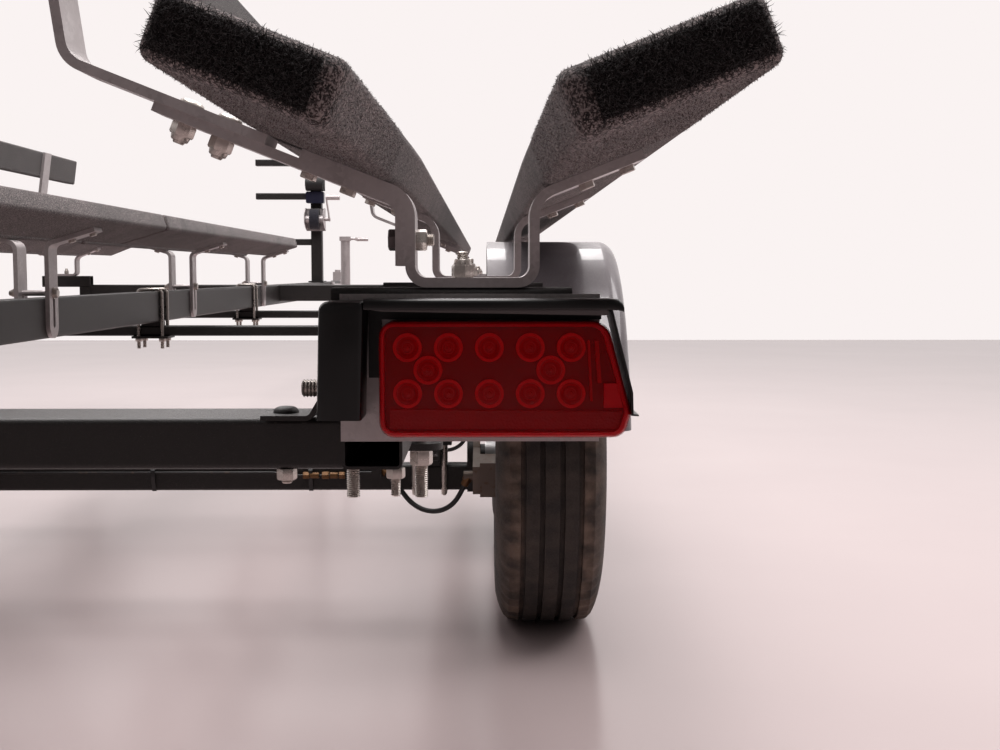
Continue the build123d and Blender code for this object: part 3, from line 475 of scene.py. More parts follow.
class Finishes:
    """Builds each finish once and hands it out by name."""

    def __init__(self) -> None:
        """Builds all the trailer's materials."""
        recipes = {
            "frame": PowderCoat(),
            "galvanised": Galvanised(),
            "zinc": Galvanised("bright_zinc", (214, 207, 200), (160, 152, 147), 0.75, 0.26, 500.0),
            "carpet": BunkCarpet(),
            "carpet_fold": BunkCarpet("carpet_fold", (9, 7, 8), (22, 18, 19), (44, 38, 38)),
            "fibre": BunkCarpet("heather_fibre", (42, 36, 36), (80, 70, 70), (160, 148, 146)),
            "fibre_dark": BunkCarpet("frayed_fibre", (16, 13, 14), (30, 26, 26), (56, 50, 50)),
            "carpet_guide": BunkCarpet("guide_carpet", (30, 26, 26), (56, 50, 49), (88, 81, 79)),
            "spring": SmoothPaint("spring_black", (34, 32, 33), 0.42, 0.2, wear=(74, 58, 48)),
            "brake": SmoothPaint("brake_iron", (112, 100, 92), 0.55, 0.55, wear=(92, 66, 48)),
            "wheel": SmoothPaint("wheel_silver", (176, 174, 174), 0.32, 0.6, 0.3),
            "steel": SmoothPaint("dark_bolt_steel", (92, 86, 86), 0.35, 0.7),
            "tyre": TyreRubber(),
            "fender": SmoothPaint("fender_paint", (92, 85, 89), 0.34, 0.1, 0.5, 0.5),
            "grit": GrittyPad(),
            "guard": SmoothPaint("guard_black", (13, 12, 13), 0.34),
            "guard_lining": SmoothPaint("guard_flange_grey", (104, 98, 98), 0.4, 0.4),
            "lens": TintedPlastic(),
            "lamp_back": RedPlastic("lamp_back", (34, 0, 3), 0.4),
            "lamp_cup": RedPlastic("lamp_cup", (196, 2, 8), 0.3),
            # the cups' flat rims are painted a brighter red than the cups: painted highlight
            "lamp_ring": RedPlastic("lamp_ring", (250, 12, 22), 0.3),
            # bright red painted glow for the lens's inner rim and the side window, where light comes through
            # the lens
            "lamp_rim": RedPlastic("lamp_rim", (240, 8, 30), 0.3),
            # the reflex strip's red, with painted glints at its prisms' centres
            "reflex": RedPlastic("lamp_reflex", (132, 6, 14), 0.4, 420.0),
            "hose": SmoothPaint("hose_black", (26, 25, 26), 0.42),
            "brass": SmoothPaint("brass_fitting", (112, 80, 50), 0.45, 0.6, wear=(72, 50, 34)),
            "rubber": SmoothPaint("stop_rubber", (24, 23, 24), 0.6),
            "navy": SmoothPaint("winch_navy", (26, 26, 50), 0.35, 0.2, 0.3),
            "webbing": BunkCarpet("winch_webbing", (20, 20, 26), (38, 38, 46), (58, 58, 66)),
        }
        self.ready = {name: recipe.material() for name, recipe in recipes.items()}

    def __getitem__(self, name: str) -> bpy.types.Material:
        """Hands out one material."""
        return self.ready[name]


def new_piece(name: str, mesh: bmesh.types.BMesh, materials: Sequence[bpy.types.Material],
              smooth: float | None = 35.0) -> bpy.types.Object:
    """Turns a worked mesh into an object of the scene.

    Args:
        name: the piece's name.
        mesh: the worked mesh, which is freed.
        materials: its material slots in order.
        smooth: the angle in degrees under which edges are smooth, or None for flat faces.

    Returns:
        The new object, at the origin.
    """
    data = bpy.data.meshes.new(name)
    mesh.to_mesh(data)
    mesh.free()
    for material in materials:
        data.materials.append(material)
    if smooth is not None:
        data.shade_smooth()
        data.set_sharp_from_angle(angle=math.radians(smooth))
    made = bpy.data.objects.new(name, data)
    bpy.context.scene.collection.objects.link(made)
    return made


def publish(name: str, mesh: bmesh.types.BMesh, materials: Sequence[bpy.types.Material], smooth: float,
            stands_for: str = "", body: str = "trailer") -> None:
    """Closes a worked mesh and makes it a piece of the trailer.

    Args:
        name: the piece's name.
        mesh: the worked mesh, which is freed.
        materials: its material slots in order.
        smooth: the angle in degrees under which edges are smooth.
        stands_for: the CAD node that it replaces, if any.
        body: the body that carries it.
    """
    outward(mesh)
    piece = new_piece(name, mesh, materials, smooth)
    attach(piece, body)
    if stands_for:
        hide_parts(stands_for)
    LOG.info("made %s", name)


def facing(side: Side) -> Placer:
    """Turns X on the right side, Z and a station into a point on the given side."""
    return lambda u, v, station: (side.value * u, along(station), v)


def skin(mesh: bmesh.types.BMesh, first: Sequence[bmesh.types.BMVert], second: Sequence[bmesh.types.BMVert],
         material: int = 0) -> None:
    """Joins two closed rings of points with a band of faces.

    Args:
        mesh: the mesh that gets it.
        first: one ring.
        second: the next ring, with as many points.
        material: slot of the faces.
    """
    for index in range(len(first)):
        following = (index + 1) % len(first)
        face = mesh.faces.new((first[index], first[following], second[following], second[index]))
        face.material_index = material


def prism(mesh: bmesh.types.BMesh, outline: Sequence[Flat], place: Placer, start: float, end: float,
          material: int = 0) -> None:
    """Adds a closed prism.

    Args:
        mesh: the mesh that gets it.
        outline: its outline's points in two coordinates.
        place: turns two outline coordinates and a depth into a point.
        start: depth of the first end.
        end: depth of the other end.
        material: slot of its faces.
    """
    rings = [[mesh.verts.new(place(u, v, depth)) for u, v in outline] for depth in (start, end)]
    count = len(outline)
    faces = [mesh.faces.new(rings[0]), mesh.faces.new(list(reversed(rings[1])))]
    for index in range(count):
        following = (index + 1) % count
        faces.append(mesh.faces.new((rings[0][following], rings[0][index],
                                     rings[1][index], rings[1][following])))
    for face in faces:
        face.material_index = material


def rounded(points: Sequence[Flat], radii: Sequence[float], steps: int = 6) -> list[Flat]:
    """Rounds the corners of a closed outline.

    Args:
        points: its corners.
        radii: the radius at each corner, 0 to keep it sharp.
        steps: how many points make each round corner.

    Returns:
        The outline with arcs at its corners.
    """
    outline: list[Flat] = []
    count = len(points)
    for index, radius in enumerate(radii):
        corner = Vector(points[index])
        if radius <= 0:
            outline.append(tuple(corner))
            continue
        before = (Vector(points[index - 1]) - corner).normalized()
        after = (Vector(points[(index + 1) % count]) - corner).normalized()
        half = before.angle(after) / 2
        reach = radius / math.tan(half)
        centre = corner + (before + after).normalized() * (radius / math.sin(half))
        first = corner + before * reach - centre
        last = corner + after * reach - centre
        turn = first.angle_signed(last)
        for step in range(steps + 1):
            outline.append(tuple(centre + Matrix.Rotation(-turn * step / steps, 2) @ first))
    return outline


def lathe(mesh: bmesh.types.BMesh, profile: Sequence[Flat], centre: Vector, axis: Vector,
          steps: int, material: int = 0, closed: bool = False) -> None:
    """Turns a profile about an axis.

    Args:
        mesh: the mesh that gets it.
        profile: points of distance along the axis and radius.
        centre: a point on the axis where the distance is 0.
        axis: the axis's direction.
        steps: how many segments go round.
        material: slot of the faces.
        closed: whether the profile's last point joins its first.
    """
    axis = axis.normalized()
    side = axis.orthogonal().normalized()
    other = axis.cross(side)
    rings = []
    for distance, radius in profile:
        if radius < 1e-6:
            rings.append([mesh.verts.new(centre + axis * distance)])
            continue
        rings.append([
            mesh.verts.new(centre + axis * distance
                           + (side * math.cos(angle) + other * math.sin(angle)) * radius)
            for angle in (2 * math.pi * step / steps for step in range(steps))])
    pairs = list(zip(rings, rings[1:]))
    if closed:
        pairs.append((rings[-1], rings[0]))
    for first, second in pairs:
        for step in range(steps):
            following = (step + 1) % steps
            corners = []
            for ring, index in ((first, step), (second, step), (second, following), (first, following)):
                vertex = ring[index] if len(ring) > 1 else ring[0]
                if vertex not in corners:
                    corners.append(vertex)
            if len(corners) > 2:
                mesh.faces.new(corners).material_index = material


def outward(mesh: bmesh.types.BMesh) -> None:
    """Merges doubles and points every face outwards."""
    bmesh.ops.remove_doubles(mesh, verts=mesh.verts, dist=1e-6)
    bmesh.ops.recalc_face_normals(mesh, faces=mesh.faces)


class GeometryBench(NodeBench):
    """Builds a Geometry Nodes tree."""

    def __init__(self, name: str,
                 inputs: dict[str, float | int | bpy.types.Object | bpy.types.Material]) -> None:
        """Starts a tree with a geometry input, named inputs and a geometry output.

        Args:
            name: the tree's name.
            inputs: each input's name and value.
        """
        super().__init__(bpy.data.node_groups.new(name, "GeometryNodeTree"))
        interface = self.tree.interface
        for way in ("INPUT", "OUTPUT"):
            interface.new_socket("Geometry", in_out=way, socket_type="NodeSocketGeometry")
        self.values = inputs
        self.identifiers: dict[str, str] = {}
        kinds = {int: "Int", float: "Float", bpy.types.Material: "Material", bpy.types.Object: "Object"}
        for label, value in inputs.items():
            kind = "NodeSocket" + kinds[type(value)]
            self.identifiers[label] = interface.new_socket(label, in_out="INPUT", socket_type=kind).identifier
        self.start = self.node("NodeGroupInput")
        self.end = self.node("NodeGroupOutput")

    def read(self, label: str) -> bpy.types.NodeSocket:
        """The socket of one of the tree's inputs."""
        return self.start.outputs[label]

    def finish(self, geometry: bpy.types.NodeSocket) -> None:
        """Gives the instances the Finish input and realizes them at the tree's end."""
        painted = self.node("GeometryNodeSetMaterial", {
            "Geometry": geometry, "Material": self.read("Finish")})
        realized = self.node("GeometryNodeRealizeInstances", {0: painted.outputs[0]})
        self.feed(self.end.inputs[0], realized.outputs[0])

    def run(self, name: str, mesh: bpy.types.Mesh, smooth: float = 35.0) -> bpy.types.Object:
        """Runs the tree on a mesh and keeps the plain result.

        Args:
            name: the new piece's name.
            mesh: what the tree works on.
            smooth: the angle in degrees under which edges are smooth.

        Returns:
            A plain mesh object at the origin.
        """
        source = bpy.data.objects.new(name + "_points", mesh)
        bpy.context.scene.collection.objects.link(source)
        modifier = source.modifiers.new("nodes", "NODES")
        modifier.node_group = self.tree
        for label, value in self.values.items():
            modifier[self.identifiers[label]] = value
        graph = bpy.context.evaluated_depsgraph_get()
        data = bpy.data.meshes.new_from_object(source.evaluated_get(graph), depsgraph=graph)
        data.name = name
        data.shade_smooth()
        data.set_sharp_from_angle(angle=math.radians(smooth))
        bpy.data.objects.remove(source)
        made = bpy.data.objects.new(name, data)
        bpy.context.scene.collection.objects.link(made)
        return made


@dataclass(frozen=True)
class Seat:
    """Where a fastener sits: its place and the way its head faces."""

    place: Point
    way: Point


def seat(side: Side, x: float, station: float, z: float, way: Point = UP) -> Seat:
    """Sets a seat that is given for the right side.

    Args:
        side: the side that gets it.
        x: its X on the right side.
        station: where it stands.
        z: its height.
        way: the way its head faces on the right side.

    Returns:
        The seat on the given side.
    """
    return Seat((side.value * x, along(station), z), (side.value * way[0], way[1], way[2]))


def seats_mesh(name: str, seats: Sequence[Seat]) -> bpy.types.Mesh:
    """Makes the points that carry fasteners.

    Args:
        name: the mesh's name.
        seats: the places.

    Returns:
        A mesh of points with their way as an attribute.
    """
    mesh = bpy.data.meshes.new(name)
    mesh.from_pydata([spot.place for spot in seats], [], [])
    ways = mesh.attributes.new("way", "FLOAT_VECTOR", "POINT")
    for entry, spot in zip(ways.data, seats):
        entry.vector = Vector(spot.way).normalized()
    return mesh


def scatter(name: str, pattern: bpy.types.Object, seats: Sequence[Seat],
            material: bpy.types.Material) -> None:
    """Sets one pattern on many seats through Geometry Nodes.

    Args:
        name: the piece's name.
        pattern: the shape, standing along +Z at the origin, which is removed.
        seats: the places that get it.
        material: its finish.
    """
    bench = GeometryBench(name + "_tree", {"Pattern": pattern, "Finish": material})
    shape = bench.node("GeometryNodeObjectInfo", {"Object": bench.read("Pattern")})
    way = bench.node("GeometryNodeInputNamedAttribute", {"Name": "way"}, data_type="FLOAT_VECTOR")
    turn = bench.node("FunctionNodeAlignRotationToVector", {"Vector": way.outputs[0]}, axis="Z")
    spread = bench.node("GeometryNodeInstanceOnPoints", {
        "Points": bench.read("Geometry"), "Instance": shape.outputs["Geometry"], "Rotation": turn.outputs[0]})
    bench.finish(spread.outputs[0])
    made = bench.run(name, seats_mesh(name + "_seats", seats))
    bpy.data.objects.remove(pattern)
    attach(made, "trailer")
    LOG.info("set %d %s", len(seats), name)


class Hardware:
    """Patterns of bolts, nuts and studs, each standing along +Z with its seat at the origin."""

    @staticmethod
    def _pattern(name: str, mesh: bmesh.types.BMesh) -> bpy.types.Object:
        """Keeps a worked mesh as a pattern object."""
        outward(mesh)
        return new_piece(name, mesh, [], 30.0)

    @staticmethod
    def hexagon(mesh: bmesh.types.BMesh, radius: float, low: float, high: float) -> None:
        """Adds a six-sided prism with chamfered corners.

        Args:
            mesh: the mesh that gets it.
            radius: from the axis to a corner.
            low: height of its base.
            high: height of its top.
        """
        chamfer = (high - low) * 0.14
        lathe(mesh, ((low, 0.0), (low, radius * 0.96), (low + chamfer, radius), (high - chamfer, radius),
                     (high, radius * 0.90), (high, 0.0)), Vector(), Vector(UP), 6)

    @staticmethod
    def thread(mesh: bmesh.types.BMesh, radius: float, low: float, high: float, pitch: float) -> None:
        """Adds a threaded stud with a chamfered end.

        Args:
            mesh: the mesh that gets it.
            radius: from the axis to the crest.
            low: height of its lower end.
            high: height of its upper end.
            pitch: distance between crests.
        """
        profile: list[Flat] = [(low, 0.0), (low, radius * 0.82), (low + pitch / 2, radius)]
        turns = max(int((high - low) / pitch) - 1, 1)
        for turn in range(turns):
            base = low + pitch * (turn + 0.5)
            profile += [(base + pitch * 0.5, radius * 0.86), (base + pitch, radius)]
        profile += [(high - pitch / 3, radius * 0.86), (high, radius * 0.75), (high, 0.0)]
        lathe(mesh, profile, Vector(), Vector(UP), 14)

    @classmethod
    def bolt_head(cls, radius: float, height: float, washer: float = 0.0) -> bpy.types.Object:
        """A hex head on its seat.

        Args:
            radius: from the axis to a corner.
            height: the head's height.
            washer: radius of a washer under it, or 0.

        Returns:
            The pattern.
        """
        mesh = bmesh.new()
        base = 0.0
        if washer:
            base = 0.0022
            lathe(mesh, ((0.0, 0.0), (0.0, washer), (base, washer), (base, 0.0)), Vector(), Vector(UP), 24)
        cls.hexagon(mesh, radius, base, base + height)
        return cls._pattern("bolt_head", mesh)

    @classmethod
    def nut_on_stud(cls, radius: float, height: float, stud: float, rise: float, pitch: float,
                    lock: bool = False) -> bpy.types.Object:
        """A nut with its stud standing out of it.

        Args:
            radius: from the axis to the nut's corner.
            height: the nut's height.
            stud: the stud's radius.
            rise: the stud's height above the seat.
            pitch: distance between the thread's crests.
            lock: whether the nut has a locking collar on top.

        Returns:
            The pattern.
        """
        mesh = bmesh.new()
        cls.hexagon(mesh, radius, 0.0, height)
        if lock:
            lathe(mesh, ((height, 0.0), (height, radius * 0.80), (height * 1.35, radius * 0.72),
                         (height * 1.45, radius * 0.62), (height * 1.45, 0.0)), Vector(), Vector(UP), 20)
        cls.thread(mesh, stud, height * 0.8, rise, pitch)
        return cls._pattern("nut_on_stud", mesh)

    @classmethod
    def dome_head(cls, radius: float, height: float) -> bpy.types.Object:
        """A carriage bolt's round head.

        Args:
            radius: the head's radius.
            height: the head's height.

        Returns:
            The pattern.
        """
        mesh = bmesh.new()
        profile = [(0.0, 0.0), (0.0, radius)] + [
            (height * math.sin(step * math.pi / 12), radius * math.cos(step * math.pi / 12) ** 0.6)
            for step in range(1, 6)] + [(height, 0.0)]
        lathe(mesh, profile, Vector(), Vector(UP), 28)
        return cls._pattern("dome_head", mesh)

    @classmethod
    def stud(cls, radius: float, length: float, pitch: float) -> bpy.types.Object:
        """A bare threaded stud.

        Args:
            radius: its radius.
            length: its length.
            pitch: distance between crests.

        Returns:
            The pattern.
        """
        mesh = bmesh.new()
        cls.thread(mesh, radius, 0.0, length, pitch)
        return cls._pattern("stud", mesh)


def bent_path(points: Sequence[Point], radius: float, steps: int = 6) -> list[Vector]:
    """Rounds the inner corners of an open route.

    Args:
        points: the route's ends and corners.
        radius: the bend's radius.
        steps: how many points make each bend.

    Returns:
        The route with arcs at its corners.
    """
    path = [Vector(points[0])]
    for index in range(1, len(points) - 1):
        corner = Vector(points[index])
        before = (Vector(points[index - 1]) - corner).normalized()
        after = (Vector(points[index + 1]) - corner).normalized()
        half = before.angle(after) / 2
        centre = corner + (before + after).normalized() * (radius / math.sin(half))
        first = corner + before * (radius / math.tan(half)) - centre
        last = corner + after * (radius / math.tan(half)) - centre
        axis = first.cross(last)
        for step in range(steps + 1):
            path.append(centre + Matrix.Rotation(first.angle(last) * step / steps, 3, axis) @ first)
    path.append(Vector(points[-1]))
    return path


def round_bar(mesh: bmesh.types.BMesh, path: Sequence[Vector], radius: float, steps: int = 12) -> None:
    """Adds a round bar with closed ends along a path.

    Args:
        mesh: the mesh that gets it.
        path: its middle line.
        radius: its radius.
        steps: how many sides it has.
    """
    rings = []
    normal = (path[1] - path[0]).orthogonal()
    for index, point in enumerate(path):
        way = (path[min(index + 1, len(path) - 1)] - path[max(index - 1, 0)]).normalized()
        normal = (normal - way * normal.dot(way)).normalized()
        other = way.cross(normal)
        rings.append([mesh.verts.new(point + (normal * math.cos(angle) + other * math.sin(angle)) * radius)
                      for angle in (2 * math.pi * step / steps for step in range(steps))])
    mesh.faces.new(rings[0])
    mesh.faces.new(list(reversed(rings[-1])))
    for first, second in zip(rings, rings[1:]):
        for step in range(steps):
            following = (step + 1) % steps
            mesh.faces.new((first[following], first[step], second[step], second[following]))


@dataclass(frozen=True)
class Pile:
    """Fibres that stand on a surface."""

    finish: str
    density: float
    length: float
    lean: float
    seed: int
    radius: float

    def grow(self, name: str, ground: bpy.types.Mesh, finishes: Finishes) -> None:
        """Grows the fibres through Geometry Nodes.

        Args:
            name: the piece's name.
            ground: the faces that carry the fibres.
            finishes: the trailer's finishes.
        """
        bench = GeometryBench(name + "_tree", {
            "Fibre": self._fibre(name), "Finish": finishes[self.finish], "Density": self.density,
            "Lean": self.lean, "Seed": self.seed})
        points = bench.node("GeometryNodeDistributePointsOnFaces", {
            "Mesh": bench.read("Geometry"), "Density": bench.read("Density"), "Seed": bench.read("Seed")})
        shape = bench.node("GeometryNodeObjectInfo", {"Object": bench.read("Fibre")})
        span = bench.node("ShaderNodeCombineXYZ", {
            "X": bench.read("Lean"), "Y": bench.read("Lean"), "Z": 3.1})
        back = bench.node("ShaderNodeVectorMath", {0: span.outputs[0], "Scale": -1.0}, operation="SCALE")
        angles = bench.node("FunctionNodeRandomValue", {
            0: back.outputs[0], 1: span.outputs[0], "Seed": bench.read("Seed")}, data_type="FLOAT_VECTOR")
        euler = bench.node("FunctionNodeEulerToRotation", {0: angles.outputs[0]})
        turn = bench.node("FunctionNodeRotateRotation", {
            0: points.outputs["Rotation"], 1: euler.outputs[0]}, rotation_space="LOCAL")
        size = bench.node("FunctionNodeRandomValue", {
            2: 0.45, 3: 1.0, "Seed": bench.read("Seed")}, data_type="FLOAT")
        spread = bench.node("GeometryNodeInstanceOnPoints", {
            "Points": points.outputs["Points"], "Instance": shape.outputs["Geometry"],
            "Rotation": turn.outputs[0], "Scale": size.outputs[1]})
        bench.finish(spread.outputs[0])
        made = bench.run(name, ground, 80.0)
        bpy.data.objects.remove(bench.values["Fibre"])
        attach(made, "trailer")
        LOG.info("%s has %d faces", name, len(made.data.polygons))

    def _fibre(self, name: str) -> bpy.types.Object:
        """One bent fibre, standing along +Z."""
        mesh = bmesh.new()
        corners = [(self.radius * math.cos(angle), self.radius * math.sin(angle))
                   for angle in (0.0, 2.0944, 4.1888)]
        rings = [[mesh.verts.new((x, y, 0.0)) for x, y in corners]]
        if self.length > 0.005:
            for rise, across, thick in ((0.40, 0.05, 0.9), (0.75, 0.24, 0.7)):
                reach, height = across * self.length, rise * self.length
                rings.append([mesh.verts.new((reach + x * thick, y * thick, height)) for x, y in corners])
        tip = mesh.verts.new((0.45 * self.length, 0.0, 0.92 * self.length))
        mesh.faces.new(list(reversed(rings[0])))
        for index in range(3):
            following = (index + 1) % 3
            for first, second in zip(rings, rings[1:]):
                mesh.faces.new((first[index], first[following], second[following], second[index]))
            mesh.faces.new((rings[-1][index], rings[-1][following], tip))
        return new_piece(name + "_fibre", mesh, [], 80.0)


@dataclass
class Studio:
    """Floor, light and camera."""

    lens: float = 46.8
    camera_place: Point = (0.985, along(-1.280), 0.700)
    pitch: float = 4.49
    yaw: float = 0.66
    half_width: float = 30.0
    near_edge: float = -24.0
    far_edge: float = 12.3
    backdrop: Screen = (250, 243, 242)
    room: Screen = (240, 230, 231)
    room_level: float = 0.40
    room_least: float = 0.03
    room_slope: Point = (0.0, 0.42, 0.26)
    gloss_gain: float = 1.25
    lamp_colour: Point = (1.0, 0.965, 0.96)

    def build(self) -> None:
        """Builds the studio."""
        self._floor()
        self._world()
        self._lamps()
        self._camera()

    def _floor(self) -> None:
        """Lays the floor, which ends where the backdrop begins."""
        mesh = bmesh.new()
        wide, near, far = self.half_width, self.near_edge, along(self.far_edge)
        corners = ((-wide, near), (wide, near), (wide, far), (-wide, far))
        mesh.faces.new([mesh.verts.new((x, y, 0.0)) for x, y in corners])
        new_piece("studio_floor", mesh, [StudioFloor().material()], None)

    def _world(self) -> None:
        """Sets a near-white background, and a room that is bright ahead and above and dim behind."""
        world = bpy.data.worlds.new("studio_world")
        world.use_nodes = True
        world.node_tree.nodes.clear()
        bench = NodeBench(world.node_tree)
        direction = bench.node("ShaderNodeTexCoord").outputs["Generated"]
        slope = bench.node("ShaderNodeVectorMath", {0: direction, 1: self.room_slope},
                           operation="DOT_PRODUCT")
        level = bench.calc("ADD", slope.outputs["Value"], self.room_level)
        level = bench.calc("MAXIMUM", level, self.room_least)
        path = bench.node("ShaderNodeLightPath").outputs
        # metal and glass show the background too, metal with the room's fall towards the rear
        dimmed = bench.calc("SUBTRACT", 1.0, bench.calc("MULTIPLY", level, self.gloss_gain, True), True)
        held_back = bench.calc("MULTIPLY", dimmed, path["Is Glossy Ray"], True)
        shown = bench.calc("SUBTRACT", 1.0, held_back, True)
        seen = bench.node("ShaderNodeBackground", {"Color": srgb(*self.backdrop), "Strength": shown})
        room = bench.node("ShaderNodeBackground", {"Color": srgb(*self.room), "Strength": level})
        direct = bench.calc("ADD", path["Is Camera Ray"], path["Is Glossy Ray"], True)
        direct = bench.calc("ADD", direct, path["Is Transmission Ray"], True)
        mix = bench.node("ShaderNodeMixShader", {0: direct, 1: room.outputs[0], 2: seen.outputs[0]})
        bench.node("ShaderNodeOutputWorld", {"Surface": mix.outputs[0]})
        bpy.context.scene.world = world

    def _lamps(self) -> None:
        """Hangs soft lamps in a row over the trailer."""
        for name, place, target, size, power in (
            ("overhead_rear", (1.0, along(0.4), 4.2), (0.9, along(0.9), 0.0), 2.0, 105.0),
            ("overhead_middle", (-0.6, along(2.8), 4.4), (-0.3, along(2.8), 0.0), 2.6, 130.0),
            ("overhead_front", (0.4, along(6.2), 4.6), (0.2, along(6.2), 0.0), 3.0, 150.0),
            ("overhead_right", (4.2, along(2.2), 4.4), (3.0, along(2.2), 0.0), 2.6, 90.0),
        ):
            light = bpy.data.lights.new(name, "AREA")
            light.shape = "SQUARE"
            light.size = size
            light.energy = power
            light.color = self.lamp_colour
            lamp = bpy.data.objects.new(name, light)
            lamp.location = place
            lamp.rotation_euler = (Vector(target) - Vector(place)).to_track_quat("-Z", "Y").to_euler()
            bpy.context.scene.collection.objects.link(lamp)

    def _camera(self) -> None:
        """Sets the camera at the photograph's place."""
        data = bpy.data.cameras.new("photo_camera")
        data.sensor_width = 36.0
        data.lens = self.lens
        data.clip_start = 0.05
        data.clip_end = 200.0
        camera = bpy.data.objects.new("photo_camera", data)
        camera.location = self.camera_place
        camera.rotation_euler = (math.radians(90 - self.pitch), 0.0, math.radians(-self.yaw))
        bpy.context.scene.collection.objects.link(camera)
        bpy.context.scene.camera = camera
        bpy.context.scene.view_settings.view_transform = "Standard"


@dataclass
class BareNodes:
    """Finishes of the nodes that keep their CAD shape."""

    finishes: Finishes
    looks: dict[str, str] = field(default_factory=lambda: {
        "side_rail": "frame", "outriggers": "frame", "corner_strap": "frame", "rear_cross_member": "frame",
        "middle_cross_member": "frame", "forward_cross_member": "frame", "spine": "frame",
        "front_cross_member": "frame", "winch_stand": "frame", "rear_axle": "frame", "front_axle": "frame",
        "u_brackets": "galvanised", "guide_arms": "galvanised", "centre_brackets": "galvanised",
        "light_plate": "galvanised", "jack_bracket": "galvanised", "jack_tube": "galvanised",
        "jack_leg": "galvanised", "coupler": "galvanised", "winch": "galvanised",
        "springs": "spring", "calipers": "brake", "fender": "fender",
        "rear_wheel": "wheel", "front_wheel": "wheel", "bow_stop": "rubber",
    })

    def build(self, nodes: dict[str, bpy.types.Object]) -> None:
        """Dresses each node.

        Args:
            nodes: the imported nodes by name.
        """
        for name, node in nodes.items():
            base = name.removesuffix("_right").removesuffix("_left")
            look = self.looks.get(base)
            if look is None:
                continue
            for slot in node.material_slots:
                slot.material = self.finishes[look]
            LOG.info("%s is %s", name, look)


@dataclass(frozen=True)
class Board:
    """One carpeted bunk: the node, its lowest corner, which way it rises, its size and its runs."""

    node: str
    side: Side
    x: float
    z: float
    way: int
    angle: float
    width: float
    thickness: float
    runs: tuple[Flat, ...]
    bare: float = 0.0
    drawn_in: float = 0.0

    def low_edge(self, station: float) -> float:
        """How far the carpet's low edge is drawn in at a station."""
        return self.drawn_in * min(max((0.15 - station) / (0.15 - BUNK_REAR), 0.0), 1.0)

    def place(self, across: float, up: float, station: float) -> Point:
        """Puts a point of the board's section at a station.

        Args:
            across: distance along its lower face from the lowest corner.
            up: distance from its lower face.
            station: where it stands.

        Returns:
            The point in the trailer's frame.
        """
        cosine, sine = math.cos(self.angle), math.sin(self.angle)
        x = self.x + self.way * (across * cosine - up * sine)
        return (self.side.value * x, along(station), self.z + across * sine + up * cosine)

    def section(self, point: Vector) -> Flat:
        """Turns a point of the frame into the board's own across and up."""
        cosine, sine = math.cos(self.angle), math.sin(self.angle)
        x = self.way * (self.side.value * point.x - self.x)
        z = point.z - self.z
        return (x * cosine + z * sine, z * cosine - x * sine)


